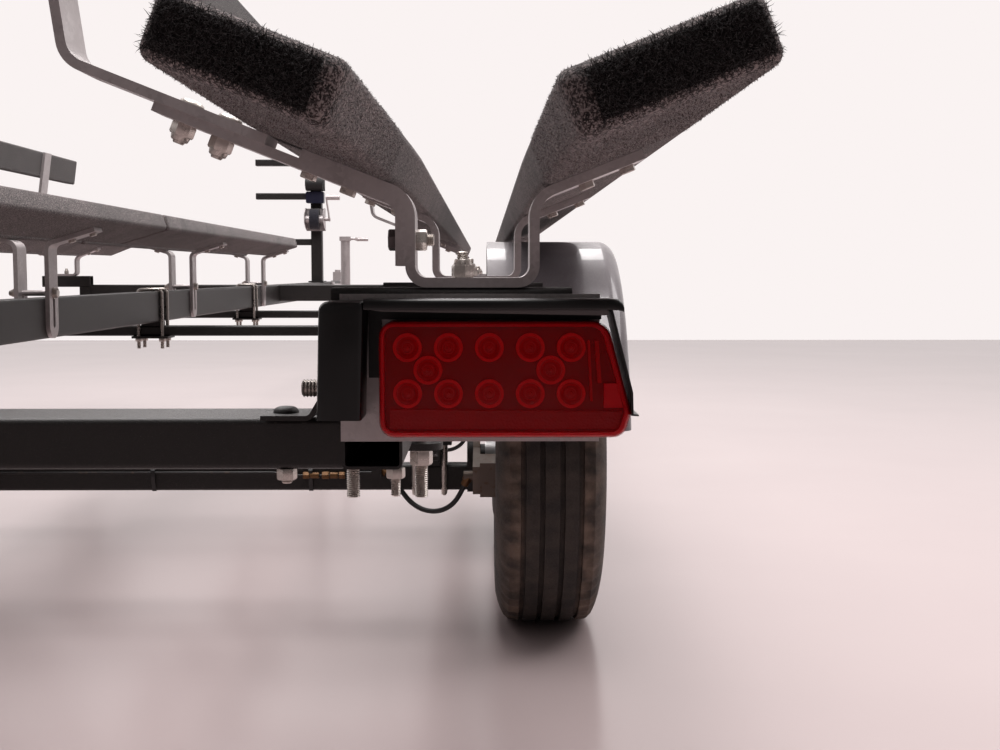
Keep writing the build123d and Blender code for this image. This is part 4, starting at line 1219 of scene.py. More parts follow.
@dataclass
class BunkBoards:
    """Carpeted boards that carry the boat, with frayed carpet at their ends."""

    finishes: Finishes
    corner: float = 0.009
    gap: float = 0.0003
    end_depth: float = 0.020
    fray_depth: float = 0.0045
    fray_rise: float = 0.007
    fuzzy_length: float = 0.42
    ends: tuple[Flat, ...] = (
        (0.0, 0.0150), (0.0010, 0.0105), (0.0035, 0.0062), (0.0075, 0.0030), (0.0125, 0.0009), (0.0180, 0.0))

    def build(self) -> None:
        """Builds the six bunks and dresses the guide boards."""
        rise = math.tan(ARM_ANGLE)
        offset = HALF_BAR / math.cos(ARM_ANGLE) + self.gap
        for side in Side:
            for name, way, inner, bare, drawn_in in (("inboard", -1, 0.073, 0.034, 0.019),
                                                     ("outboard", 1, 0.068, 0.024, 0.006)):
                self._bunk(Board(f"{name}_bunk_{side.label}", side, BRACKET_X + way * inner,
                                 ARM_Z + (inner - LEG_X) * rise + offset, way, ARM_ANGLE,
                                 0.150, 0.048, ((BUNK_REAR, 5.320),), bare, drawn_in))
            x = 0.045
            z = (CENTRE_ARM_Z + (x - CENTRE_ARM_X) * math.tan(CENTRE_ANGLE)
                 + HALF_BAR / math.cos(CENTRE_ANGLE) + self.gap)
            self._bunk(Board(f"centre_bunk_{side.label}", side, x, z, 1, CENTRE_ANGLE, 0.136, 0.042,
                             ((BUNK_REAR, 2.080), (2.082, 4.400))))
            for slot in bpy.data.objects[f"guide_board_{side.label}"].material_slots:
                slot.material = self.finishes["carpet_guide"]

    def _rings(self, mesh: bmesh.types.BMesh, board: Board, rear: float, front: float) -> None:
        """Adds one closed run of a board.

        Args:
            mesh: the mesh that gets it.
            board: the board.
            rear: station of its rear end.
            front: station of its front end.
        """
        first = [(rear + depth, inset) for depth, inset in self.ends]
        last = [(front - depth, inset) for depth, inset in reversed(self.ends)]
        start, end = first[-1][0] + 0.012, last[0][0] - 0.012
        count = max(int((end - start) / 0.12), 4)
        middle = [(start + (end - start) * step / count, 0.0) for step in range(count + 1)]
        rings = []
        for station, inset in first + middle + last:
            low = inset + board.low_edge(station)
            wide, high = board.width - inset, board.thickness - inset
            radius = max(self.corner - inset * 0.3, 0.004)
            outline = rounded(((low, inset), (wide, inset), (wide, high), (low, high)), (radius,) * 4, 5)
            rings.append([mesh.verts.new(board.place(u, v, station)) for u, v in outline])
        for one, two in zip(rings, rings[1:]):
            skin(mesh, one, two)
        mesh.faces.new(rings[0])
        mesh.faces.new(rings[-1])

    def _near(self, mesh: bmesh.types.BMesh, end: float) -> list[bmesh.types.BMFace]:
        """The faces that lie at an end of the board."""
        return [face for face in mesh.faces
                if all(abs(vertex.co.y - along(end)) < self.end_depth for vertex in face.verts)]

    def _fray(self, board: Board, mesh: bmesh.types.BMesh, end: float) -> None:
        """Cuts the frayed patch out of one end and gives it the dark slot.

        Args:
            board: the board.
            mesh: its carpet.
            end: the end's station.
        """
        origin = Vector(board.place(0.0, 0.0, end))
        cuts = (((board.bare, 0.0), (1.0, 0.0)), ((0.0, self.fray_rise), (0.0, 1.0))) if board.bare else ()
        for corner, way in cuts:
            near = self._near(mesh, end)
            parts = set(near) | {edge for face in near for edge in face.edges} \
                | {vertex for face in near for vertex in face.verts}
            bmesh.ops.bisect_plane(mesh, geom=list(parts), dist=1e-6,
                                   plane_co=Vector(board.place(*corner, end)),
                                   plane_no=Vector(board.place(*way, end)) - origin)
        for face in self._near(mesh, end):
            middle = face.calc_center_median()
            across, up = board.section(middle)
            if abs(middle.y - along(end)) < self.fray_depth and across > board.bare and up > self.fray_rise:
                face.material_index = 1

    def _bunk(self, board: Board) -> None:
        """Builds one bunk, its frayed ends and its pile.

        Args:
            board: the board.
        """
        mesh = bmesh.new()
        for rear, front in board.runs:
            self._rings(mesh, board, rear, front)
        outward(mesh)
        for end in (board.runs[0][0], board.runs[-1][1]):
            self._fray(board, mesh, end)
        if board.bare:
            self._pile(board, mesh)
        piece = new_piece(board.node + "_carpet", mesh,
                          [self.finishes["carpet"], self.finishes["carpet_fold"]], 50.0)
        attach(piece, "trailer")
        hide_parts(board.node)
        LOG.info("carpet on %s", board.node)

    def _pile(self, board: Board, mesh: bmesh.types.BMesh) -> None:
        """Grows the fibres of one bunk.

        Args:
            board: the board.
            mesh: its carpet.
        """
        limit = along(board.runs[0][0] + self.fuzzy_length)
        kinds = (
            ("frayed", lambda face: face.material_index == 1,
             Pile("fibre_dark", 900000.0, 0.0100, 1.15, 3 + board.way, 0.00032)),
            ("short", lambda face: face.material_index == 0 and face.calc_center_median().y < limit,
             Pile("fibre", 104000.0, 0.0021, 1.0, 13 + board.way, 0.00034)),
        )
        for label, keep, pile in kinds:
            part = mesh.copy()
            part.faces.ensure_lookup_table()
            bmesh.ops.delete(part, geom=[face for face in part.faces if not keep(face)], context="FACES")
            ground = bpy.data.meshes.new("ground")
            part.to_mesh(ground)
            part.free()
            pile.grow(f"{board.node}_{label}", ground, self.finishes)


@dataclass
class TreadedTyre:
    """Radial trailer tyre with four straight grooves, shoulder notches and sipes."""

    finishes: Finishes
    centre_x: float = 1.106
    centre_z: float = 0.332
    radius: float = 0.332
    pitches: int = 66
    parts: int = 4

    def build(self) -> None:
        """Builds the four tyres."""
        for end, station in AXLE_STATIONS.items():
            for side in Side:
                self._tyre(end, side, along(station))

    def _section(self) -> list[Rib]:
        """The outer section from the inner bead to the outer bead.

        Returns:
            Points of offset across, radius and kind of surface.
        """
        grooves = (-0.052, -0.018, 0.018, 0.052)
        half, depth, width = 0.0765, 0.0075, 0.0048
        points: list[Rib] = []
        for offset, radius in ((-0.050, 0.1813), (-0.069, 0.1813), (-0.073, 0.1945), (-0.086, 0.212),
                               (-0.0985, 0.232), (-0.1022, 0.252), (-0.1008, 0.274), (-0.0965, 0.292),
                               (-0.0915, 0.306), (-0.0855, 0.3185), (-half, 0.3272)):
            points.append((offset, radius, "wall" if radius < 0.30 else "shoulder"))
        last = -half
        for groove in grooves:
            start, end = groove - width, groove + width
            middle = (last + start) / 2
            for offset in (middle, start):
                points.append((offset, self._crown(offset), "rib"))
            points.append((start + 0.0012, self._crown(start) - depth, "groove"))
            points.append((end - 0.0012, self._crown(end) - depth, "groove"))
            points.append((end, self._crown(end), "rib"))
            last = end
        points.append(((last + half) / 2, self._crown((last + half) / 2), "rib"))
        mirrored = [(-offset, radius, kind) for offset, radius, kind in reversed(points[:11])]
        return points + mirrored

    def _crown(self, offset: float) -> float:
        """Radius of the tread at an offset from its middle."""
        return self.radius - 0.0048 * (abs(offset) / 0.0765) ** 2.4

    def _tyre(self, end: str, side: Side, y: float) -> None:
        """Builds one tyre.

        Args:
            end: rear or front.
            side: the trailer's side.
            y: the axle's Y.
        """
        section = self._section()
        steps = self.pitches * self.parts
        mesh = bmesh.new()
        rings = []
        for step in range(steps):
            angle = 2 * math.pi * step / steps
            phase = step % self.parts
            ring = []
            for offset, radius, kind in section:
                cut = 0.0
                if kind == "shoulder" and radius > 0.31 and phase in (0, 1):
                    cut = 0.0042
                if kind == "rib" and abs(offset) > 0.056 and phase in (0, 1):
                    cut = 0.0040
                if kind == "rib" and abs(offset) < 0.05 and phase == 0:
                    cut = 0.0012
                reach = radius - cut
                ring.append(mesh.verts.new((
                    side.value * self.centre_x + offset,
                    y + reach * math.cos(angle),
                    self.centre_z + reach * math.sin(angle))))
            rings.append(ring)
        for index in range(steps):
            first, second = rings[index], rings[(index + 1) % steps]
            for number in range(len(section) - 1):
                mesh.faces.new((first[number], first[number + 1], second[number + 1], second[number]))
            mesh.faces.new((first[-1], first[0], second[0], second[-1]))
        publish(f"{end}_tread_{side.label}", mesh, [self.finishes["tyre"]], 32.0, f"{end}_tyre_{side.label}",
                f"{end}_wheel_{side.label}_body")


@dataclass
class TailLamps:
    """Red lamps: lens, housing, twelve LED cups, reflex strip and side window."""

    finishes: Finishes
    left: float = 0.8865
    bottom: float = 0.5472
    top: float = 0.6555
    face: float = -0.0845
    back: float = -0.0345
    width: float = 0.235
    cup: float = 0.0134
    columns: tuple[float, ...] = (0.913, 0.951, 0.989, 1.027, 1.065)
    rows: Flat = (0.631, 0.588)
    between: tuple[Flat, ...] = ((0.932, 0.610), (1.046, 0.610))

    def build(self) -> None:
        """Builds both lamps."""
        for side in Side:
            self._lamp(side)

    def _outline(self, inset: float) -> list[Flat]:
        """The lamp's outline, drawn in by some distance.

        Args:
            inset: how far it is drawn in.

        Returns:
            The outline's points in X and Z.
        """
        right = self.left + self.width
        left, low, high = self.left + inset, self.bottom + inset, self.top - inset
        points = ((left, low), (right - 0.007 - inset * 1.2, low), (right - inset * 1.3, self.bottom + 0.024),
                  (self.left + 0.213 - inset * 1.5, high), (left, high))
        radius = max(0.0145 - inset, 0.002)
        return rounded(points, (radius, radius, 0.010, radius * 1.4, radius), 6)

    def _lamp(self, side: Side) -> None:
        """Builds one lamp.

        Args:
            side: the trailer's side.
        """
        place = facing(side)
        mesh = bmesh.new()
        loops = [[mesh.verts.new(place(u, v, station)) for u, v in self._outline(inset)]
                 for inset, station in ((0.0, self.back), (0.0, self.face + 0.006),
                                        (0.0018, self.face + 0.0022), (0.0055, self.face))]
        for first, second in zip(loops, loops[1:]):
            skin(mesh, first, second)
        mesh.faces.new(loops[-1])
        mesh.faces.new(list(reversed(loops[0])))
        publish(f"lamp_lens_{side.label}", mesh, [self.finishes["lens"]], 40.0,
                f"tail_light_{side.label}")
        inner = bmesh.new()
        back_face = self.face + 0.012
        prism(inner, self._outline(0.003), place, back_face, self.back + 0.001)
        for x, z in self._cups():
            centre = Vector((side.value * x, along(back_face), z))
            # the rim's flat top takes the brighter ring red (slot 4): painted highlight
            rim = ((0.0, self.cup), (0.0050, self.cup), (0.0050, self.cup - 0.0030), (0.0, self.cup - 0.0036))
            lathe(inner, rim, centre, Vector((0, -1, 0)), 32, 4, True)
            bowl = ((0.0, self.cup - 0.0036), (0.0040, self.cup - 0.0036), (0.0010, 0.0066), (0.0, 0.0066))
            lathe(inner, bowl, centre, Vector((0, -1, 0)), 32, 1, True)
            core = ((0.0, 0.0064), (0.0030, 0.0064), (0.0030, 0.0050), (0.0008, 0.0046), (0.0012, 0.0020),
                    (0.0026, 0.0014), (0.0026, 0.0))
            lathe(inner, core, centre, Vector((0, -1, 0)), 28, 1)
        strip = ((self.left + 0.010, self.bottom + 0.008), (self.left + 0.222, self.bottom + 0.008),
                 (self.left + 0.226, self.bottom + 0.024), (self.left + 0.010, self.bottom + 0.026))
        prism(inner, strip, place, back_face - 0.005, back_face + 0.001, 2)
        # two thin raised bars in the cups' bright red stand for the upright glint near the lens's right end:
        # painted highlight
        for low, high, start, end in ((0.1965, 0.1985, 0.034, 0.090), (0.203, 0.2065, 0.051, 0.090)):
            near, far = self.left + low, self.left + high
            bar = ((near, self.bottom + start), (far, self.bottom + start),
                   (far - 0.003, self.bottom + end), (near - 0.003, self.bottom + end))
            prism(inner, bar, place, back_face - 0.007, back_face + 0.001, 1)
        # the side window takes the painted glow red (slot 3): painted light, not a lamp
        window = ((self.left + 0.209, self.bottom + 0.028), (self.left + 0.2265, self.bottom + 0.028),
                  (self.left + 0.2215, self.bottom + 0.0505), (self.left + 0.209, self.bottom + 0.0505))
        prism(inner, window, place, back_face - 0.008, back_face + 0.001, 3)
        # a band round the lens's inner edge in the painted glow red (slot 3): painted light carried round the
        # rim
        loops = [[inner.verts.new(place(u, v, station)) for u, v in self._outline(inset)]
                 for inset, station in ((0.0008, self.face + 0.0065), (0.0024, self.face + 0.0030),
                                        (0.0050, self.face + 0.0024), (0.0050, back_face + 0.001),
                                        (0.0008, back_face + 0.001))]
        for first, second in zip(loops, loops[1:] + loops[:1]):
            skin(inner, first, second, 3)
        reds = [self.finishes[name] for name in ("lamp_back", "lamp_cup", "reflex", "lamp_rim", "lamp_ring")]
        publish(f"lamp_inside_{side.label}", inner, reds, 35.0, "")

    def _cups(self) -> Iterable[Flat]:
        """Centres of the LED cups in X and Z."""
        for x in self.columns:
            for z in self.rows:
                yield x, z
        yield from self.between


@dataclass
class LampGuards:
    """Sheet metal guards round the lamps: box, visor with a rolled lip, flange and black lining."""

    finishes: Finishes
    face: float = -0.0885
    back: float = -0.0346
    sheet: float = 0.0026

    def build(self) -> None:
        """Builds both guards."""
        for side in Side:
            mesh = bmesh.new()
            self._box(mesh, side)
            self._visor(mesh, side)
            blacks = [self.finishes["guard"], self.finishes["guard_lining"]]
            publish(f"lamp_guard_{side.label}", mesh, blacks, 40.0, f"light_guard_{side.label}")

    def _box(self, mesh: bmesh.types.BMesh, side: Side) -> None:
        """Adds the box beside the lamp, open below and ahead.

        Args:
            mesh: the mesh that gets it.
            side: the trailer's side.
        """
        place = facing(side)
        corners = ((0.8292, 0.564), (0.8705, 0.564), (0.8738, 0.674), (0.8322, 0.674))
        outer, inner = [], []
        for grown, target in ((0.0, outer), (-self.sheet, inner)):
            shape = tuple((u + way * grown, v + rise * grown)
                          for (u, v), way, rise in zip(corners, (-1, 1, 1, -1), (0, 0, 1, 1)))
            target.extend(rounded(shape, (0.0, 0.0, 0.004 + max(grown, 0.0), 0.009 + grown), 5))
        loops = [[mesh.verts.new(place(u, v, station)) for u, v in self._shrunk(outer, inset)]
                 for inset, station in ((0.0, self.back), (0.0, self.face + 0.005),
                                        (0.0012, self.face + 0.0015), (0.0042, self.face))]
        hollow = [[mesh.verts.new(place(u, v, station)) for u, v in inner]
                  for station in (self.back, self.face + self.sheet)]
        for first, second in [*zip(loops, loops[1:]), (hollow[1], hollow[0]), (hollow[0], loops[0])]:
            skin(mesh, first, second)
        mesh.faces.new(loops[-1])
        mesh.faces.new(hollow[1])

    @staticmethod
    def _shrunk(outline: Sequence[Flat], inset: float) -> list[Flat]:
        """Draws an outline in towards its middle, its lower edge apart."""
        middle = sum(u for u, _ in outline) / len(outline)
        top = max(v for _, v in outline)
        bottom = min(v for _, v in outline)
        return [(u + (inset if u < middle else -inset), bottom + (v - bottom) * (1 - inset / (top - bottom)))
                for u, v in outline]

    def _visor(self, mesh: bmesh.types.BMesh, side: Side) -> None:
        """Adds the visor, its lip, the flange and the lining behind the lamp.

        Args:
            mesh: the mesh that gets them.
            side: the trailer's side.
        """
        def swept(offset: float, v: float, u: float) -> Point:
            """Puts a point of the visor's side view at a distance across."""
            return (side.value * u, along(self.face + offset), v)

        lip_low, lip_deep, under, top, deep = 0.6660, 0.0034, 0.6735, 0.6763, 0.0539
        profile = rounded(((0.0, lip_low), (lip_deep, lip_low), (lip_deep, under), (deep, under), (deep, top),
                           (0.0, top)), (0.0015, 0.0015, 0.001, 0.0, 0.0, 0.0042), 5)
        stations = ((0.8735, 0.0, 1.0), (1.1010, 0.0, 1.0), (1.1075, -0.0004, 1.0), (1.1112, -0.0020, 0.8),
                    (1.1128, -0.0045, 0.5))
        rings = [[mesh.verts.new(swept(w + (0.0017 - w) * (1 - scale) * 0.5 if w < 0.01 else w,
                                       0.6712 + (v - 0.6712) * scale + drop, u)) for w, v in profile]
                 for u, drop, scale in stations]
        for first, second in zip(rings, rings[1:]):
            skin(mesh, first, second)
        mesh.faces.new(rings[0])
        mesh.faces.new(rings[-1])
        place = facing(side)
        flange = ((1.1010, 0.6715), (1.1216, 0.5900), (1.1222, 0.5700), (1.1270, 0.5694), (1.1270, 0.5680),
                  (1.1202, 0.5684), (1.1194, 0.5898), (1.0985, 0.6715))
        prism(mesh, flange, place, self.face + 0.0006, self.back)
        lining = ((0.8738, 0.6000), (0.8863, 0.6000), (0.8863, 0.6558), (1.0960, 0.6558), (1.0960, 0.6735),
                  (0.8738, 0.6735))
        prism(mesh, lining, place, self.back - 0.0050, self.back)
        lip = ((0.8800, 0.6658), (1.0985, 0.6658), (1.0985, 0.6616), (1.0960, 0.6610), (0.8900, 0.6646))
        prism(mesh, lip, place, self.face + 0.0036, self.back - 0.0052, 1)


@dataclass
class BrakeHoses:
    """Flexible hoses from the axle fittings to the calipers."""

    finishes: Finishes
    radius: float = 0.005
    route: tuple[Flat, ...] = (
        (0.0, 0.0), (0.020, -0.014), (0.038, -0.036), (0.058, -0.057), (0.087, -0.070), (0.119, -0.070),
        (0.147, -0.057), (0.166, -0.035))

    def build(self) -> None:
        """Builds the four hoses."""
        for end, station in AXLE_STATIONS.items():
            for side in Side:
                self._hose(end, side, along(station))

    def _points(self, y: float) -> list[Vector]:
        """The route's points on the right side.

        Args:
            y: the axle's Y.

        Returns:
            The points in the trailer's frame.
        """
        angle = math.radians(192)
        start = Vector((0.785, y - (0.0508 + 0.020) / 2, 0.301))
        banjo = Vector((0.953, y + 0.118 * math.cos(angle), 0.332 + 0.118 * math.sin(angle)))
        flat = Vector((banjo.x - start.x, banjo.y - start.y, 0.0))
        target = Vector((flat.length, banjo.z - start.z))
        last = Vector(self.route[-1])
        finish = target - (target - last).normalized() * 0.018
        way = flat.normalized()
        return [start + way * across + Vector((0, 0, up)) for across, up in (*self.route, tuple(finish))]

    def _hose(self, end: str, side: Side, y: float) -> None:
        """Builds one hose.

        Args:
            end: rear or front.
            side: the trailer's side.
            y: the axle's Y.
        """
        points = [Vector((side.value * point.x, point.y, point.z)) for point in self._points(y)]
        curve = bpy.data.curves.new(f"{end}_hose_{side.label}", "CURVE")
        curve.dimensions = "3D"
        curve.bevel_depth = self.radius
        curve.bevel_resolution = 4
        spline = curve.splines.new("NURBS")
        spline.points.add(len(points) - 1)
        for target, point in zip(spline.points, points):
            target.co = (*point, 1.0)
        spline.order_u = 3
        spline.use_endpoint_u = True
        spline.resolution_u = 10
        hose = bpy.data.objects.new(f"{end}_hose_{side.label}", curve)
        curve.materials.append(self.finishes["hose"])
        bpy.context.scene.collection.objects.link(hose)
        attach(hose, "trailer")
        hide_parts(f"{end}_brake_hose_{side.label}")
        self._ends(end, side, points)
        LOG.info("brake hose at the %s %s wheel", end, side.label)

    def _ends(self, end: str, side: Side, points: Sequence[Vector]) -> None:
        """Sets brass unions over the metal ends of one hose.

        Args:
            end: rear or front.
            side: the trailer's side.
            points: the hose's route.
        """
        mesh = bmesh.new()
        for tip, before in ((points[0], points[1]), (points[-1], points[-2])):
            way = (tip - before).normalized()
            for low, high, inner, outer, sides in ((-0.0035, 0.0062, 0.0052, 0.0076, 20),
                                                   (0.0064, 0.0160, 0.0060, 0.0096, 6)):
                profile = ((low, inner), (low, outer), (high, outer), (high, inner))
                lathe(mesh, profile, tip, way, sides, 0, True)
        publish(f"{end}_hose_unions_{side.label}", mesh, [self.finishes["brass"]], 30.0)


@dataclass
class Fasteners:
    """Bolts, nuts and studs of the brackets, boards, clamps and springs."""

    finishes: Finishes

    def build(self) -> None:
        """Sets every fastener."""
        self._base_nuts()
        self._leg_bolts()
        self._lag_heads()
        self._guide_bolts()
        self._rail_clamps()
        self._corner_bolts()
        self._axle_bolts()
        self._centre_bolts()
        self._spine_clamps()

    def _set(self, name: str, pattern: bpy.types.Object, seats: Sequence[Seat], finish: str = "zinc") -> None:
        """Sets one kind of fastener on its seats."""
        scatter(name, pattern, seats, self.finishes[finish])

    def _arm(self, side: Side, station: float, local: float, below: float) -> Seat:
        """A seat on a bunk arm, square to it.

        Args:
            side: the trailer's side.
            station: the bracket's station.
            local: distance from the bracket's middle, negative towards the inboard side.
            below: distance under the arm's centre line, negative above it.

        Returns:
            The seat, facing away from the centre line.
        """
        sine, cosine = math.sin(ARM_ANGLE), math.cos(ARM_ANGLE)
        sign = 1 if local > 0 else -1
        z = ARM_Z + (abs(local) - LEG_X) * math.tan(ARM_ANGLE)
        away = 1 if below > 0 else -1
        return seat(side, BRACKET_X + local + sign * below * sine, station, z - below * cosine,
                    (away * sign * sine, 0.0, -away * cosine))

    def _base_nuts(self) -> None:
        """Nuts on the base of each U bracket."""
        seats = [seat(side, 0.963, station, 0.6955) for side in Side for station in BRACKET_STATIONS]
        self._set("base_nuts", Hardware.nut_on_stud(0.0112, 0.0125, 0.0056, 0.0255, 0.0017, True), seats)

    def _leg_bolts(self) -> None:
        """Bolts through the support straps and the brackets' inboard legs."""
        heads, nuts = [], []
        for side in Side:
            for station in GUIDE_STATIONS:
                heads.append(seat(side, 0.8990, station, 0.732, (-1.0, 0.0, 0.0)))
                nuts.append(seat(side, 0.9180, station, 0.732, (1.0, 0.0, 0.0)))
        self._set("leg_bolt_heads", Hardware.bolt_head(0.0108, 0.0082), heads, "steel")
        self._set("leg_bolt_nuts", Hardware.nut_on_stud(0.0108, 0.0105, 0.0062, 0.0175, 0.0018), nuts)

    def _lag_heads(self) -> None:
        """Lag screws that hold the boards to the arms."""
        seats = []
        for side in Side:
            for station in BRACKET_STATIONS:
                for local in (-0.153, -0.115, 0.1086, 0.148):
                    strapped = station in GUIDE_STATIONS and local < 0
                    seats.append(self._arm(side, station, local, HALF_BAR * (3 if strapped else 1)))
        self._set("lag_heads", Hardware.bolt_head(0.0082, 0.0062), seats)

    def _guide_bolts(self) -> None:
        """Carriage bolts that join each guide arm to its strap."""
        domes, nuts = [], []
        for side in Side:
            for station in GUIDE_STATIONS:
                for local in (-0.2365, -0.273):
                    domes.append(self._arm(side, station, local, -HALF_BAR))
                    nuts.append(self._arm(side, station, local, 3 * HALF_BAR))
        self._set("guide_bolt_domes", Hardware.dome_head(0.0125, 0.0055), domes)
        self._set("guide_bolt_nuts", Hardware.nut_on_stud(0.0120, 0.0120, 0.0062, 0.0200, 0.0018, True), nuts)

    @staticmethod
    def _square_bolt(name: str, legs: float, drop: float, radius: float,
                     across: Point = (1, 0, 0)) -> bpy.types.Object:
        """A square U-bolt whose bar lies at the origin and whose legs point down.

        Args:
            name: the pattern's name.
            legs: half the distance between the legs.
            drop: the legs' length, negative if they point up.
            radius: the bar's radius.
            across: from one leg to the other.

        Returns:
            The pattern.
        """
        mesh = bmesh.new()
        side = Vector(across) * legs
        down = Vector((0, 0, -drop))
        round_bar(mesh, bent_path([tuple(side + down), tuple(side), tuple(-side), tuple(-side + down)],
                                  radius * 2.2), radius)
        outward(mesh)
        return new_piece(name, mesh, [], 40.0)

    def _rail_clamps(self) -> None:
        """Square U-bolts round the side rails and their clamp plates at each outrigger."""
        bars, studs, nuts = [], [], []
        middle, half, shift = RAIL_X - 0.0015, 0.0395, 0.220
        for side in Side:
            for bracket in BRACKET_STATIONS:
                station = bracket + (-shift if bracket == BRACKET_STATIONS[-1] else shift)
                bars.append(seat(side, middle, station, 0.5726))
                for x in (middle - half, middle + half):
                    studs.append(seat(side, x, station, 0.4405))
                    nuts.append(seat(side, x, station, 0.4974, DOWN))
        self._set("clamp_bars", self._square_bolt("clamp_bar", half, 0.076, 0.0075), bars)
        self._set("clamp_studs", Hardware.stud(0.0079, 0.060, 0.0024), studs)
        self._set("clamp_nuts", Hardware.bolt_head(0.0135, 0.0170, 0.0150), nuts)

    def _corner_bolts(self) -> None:
        """Bolts of the corner straps and the rails' rear ends."""
        domes = [seat(side, 0.787, 0.010, 0.5615) for side in Side]
        nuts = [seat(side, 0.787, 0.010, 0.5055, DOWN) for side in Side]
        ends = [seat(side, 0.8425, -0.003, 0.587, (-1.0, 0.0, 0.0)) for side in Side]
        small = [seat(side, 0.8955, 0.012, 0.5055, DOWN) for side in Side]
        self._set("corner_domes", Hardware.dome_head(0.0128, 0.0065), domes, "frame")
        self._set("corner_nuts", Hardware.nut_on_stud(0.0101, 0.0115, 0.0055, 0.0150, 0.0017), nuts)
        self._set("corner_studs", Hardware.stud(0.0090, 0.0375, 0.0034), ends)
        self._set("rail_nuts", Hardware.nut_on_stud(0.0096, 0.0105, 0.0050, 0.0285, 0.0016), small)

    def _axle_bolts(self) -> None:
        """U-bolts from below the axles up through the springs' tie plates."""
        bars, studs, nuts = [], [], []
        half = 0.0318
        for side in Side:
            for station in AXLE_STATIONS.values():
                for x in (RAIL_X - 0.0295, RAIL_X + 0.0295):
                    bars.append(seat(side, x, station, 0.2574))
                    for offset in (-half, half):
                        studs.append(seat(side, x, station + offset, 0.366))
                        nuts.append(seat(side, x, station + offset, 0.3674))
        self._set("axle_bars", self._square_bolt("axle_bar", half, -0.110, 0.0057, (0, 1, 0)), bars)
        self._set("axle_studs", Hardware.stud(0.0060, 0.028, 0.0019), studs)
        self._set("axle_nuts", Hardware.bolt_head(0.0105, 0.0105), nuts)

    def _centre_bolts(self) -> None:
        """Cross bolts of the centre brackets and the screws that hold the centre bunks."""
        heads, nuts, lags = [], [], []
        cosine, sine = math.cos(CENTRE_ANGLE), math.sin(CENTRE_ANGLE)
        for station in CENTRE_STATIONS:
            heads.append(seat(Side.RIGHT, 0.0385, station, 0.65585, (1.0, 0.0, 0.0)))
            nuts.append(seat(Side.LEFT, 0.0385, station, 0.65585, (1.0, 0.0, 0.0)))
            for side in Side:
                for x in (0.0800, 0.1260):
                    z = CENTRE_ARM_Z + (x - CENTRE_ARM_X) * math.tan(CENTRE_ANGLE)
                    lags.append(seat(side, x + HALF_BAR * sine, station, z - HALF_BAR * cosine,
                                     (sine, 0.0, -cosine)))
        self._set("centre_bolt_heads", Hardware.bolt_head(0.0108, 0.0078, 0.0130), heads)
        self._set("centre_bolt_nuts",
                  Hardware.nut_on_stud(0.0108, 0.0105, 0.0062, 0.0200, 0.0018, True), nuts)
        self._set("centre_lag_heads", Hardware.bolt_head(0.0082, 0.0062), lags)

    def _spine_clamps(self) -> None:
        """U-bolts over the spine at the low cross members, with plates and nuts below."""
        bars, studs, nuts = [], [], []
        plates = bmesh.new()
        wide, deep, low, high, half = 0.054, 0.046, 0.5080, 0.5143, 0.0345
        for station in LOW_CROSS_STATIONS:
            y = along(station)
            outline = rounded(((-wide, y - deep), (wide, y - deep), (wide, y + deep), (-wide, y + deep)),
                              (0.006,) * 4, 3)
            prism(plates, outline, lambda u, v, depth: (u, v, depth), low, high)
            for offset in (-0.0325, 0.0325):
                bars.append(seat(Side.RIGHT, 0.0, station + offset, 0.6512))
                for x in (-half, half):
                    studs.append(seat(Side.RIGHT, x, station + offset, 0.478))
                    nuts.append(seat(Side.RIGHT, x, station + offset, low, DOWN))
        publish("spine_clamp_plates", plates, [self.finishes["frame"]], 30.0)
        self._set("spine_bars", self._square_bolt("spine_bar", half, 0.150, 0.0052), bars)
        self._set("spine_studs", Hardware.stud(0.0055, 0.034, 0.0018), studs)
        self._set("spine_nuts", Hardware.bolt_head(0.0100, 0.0095), nuts)


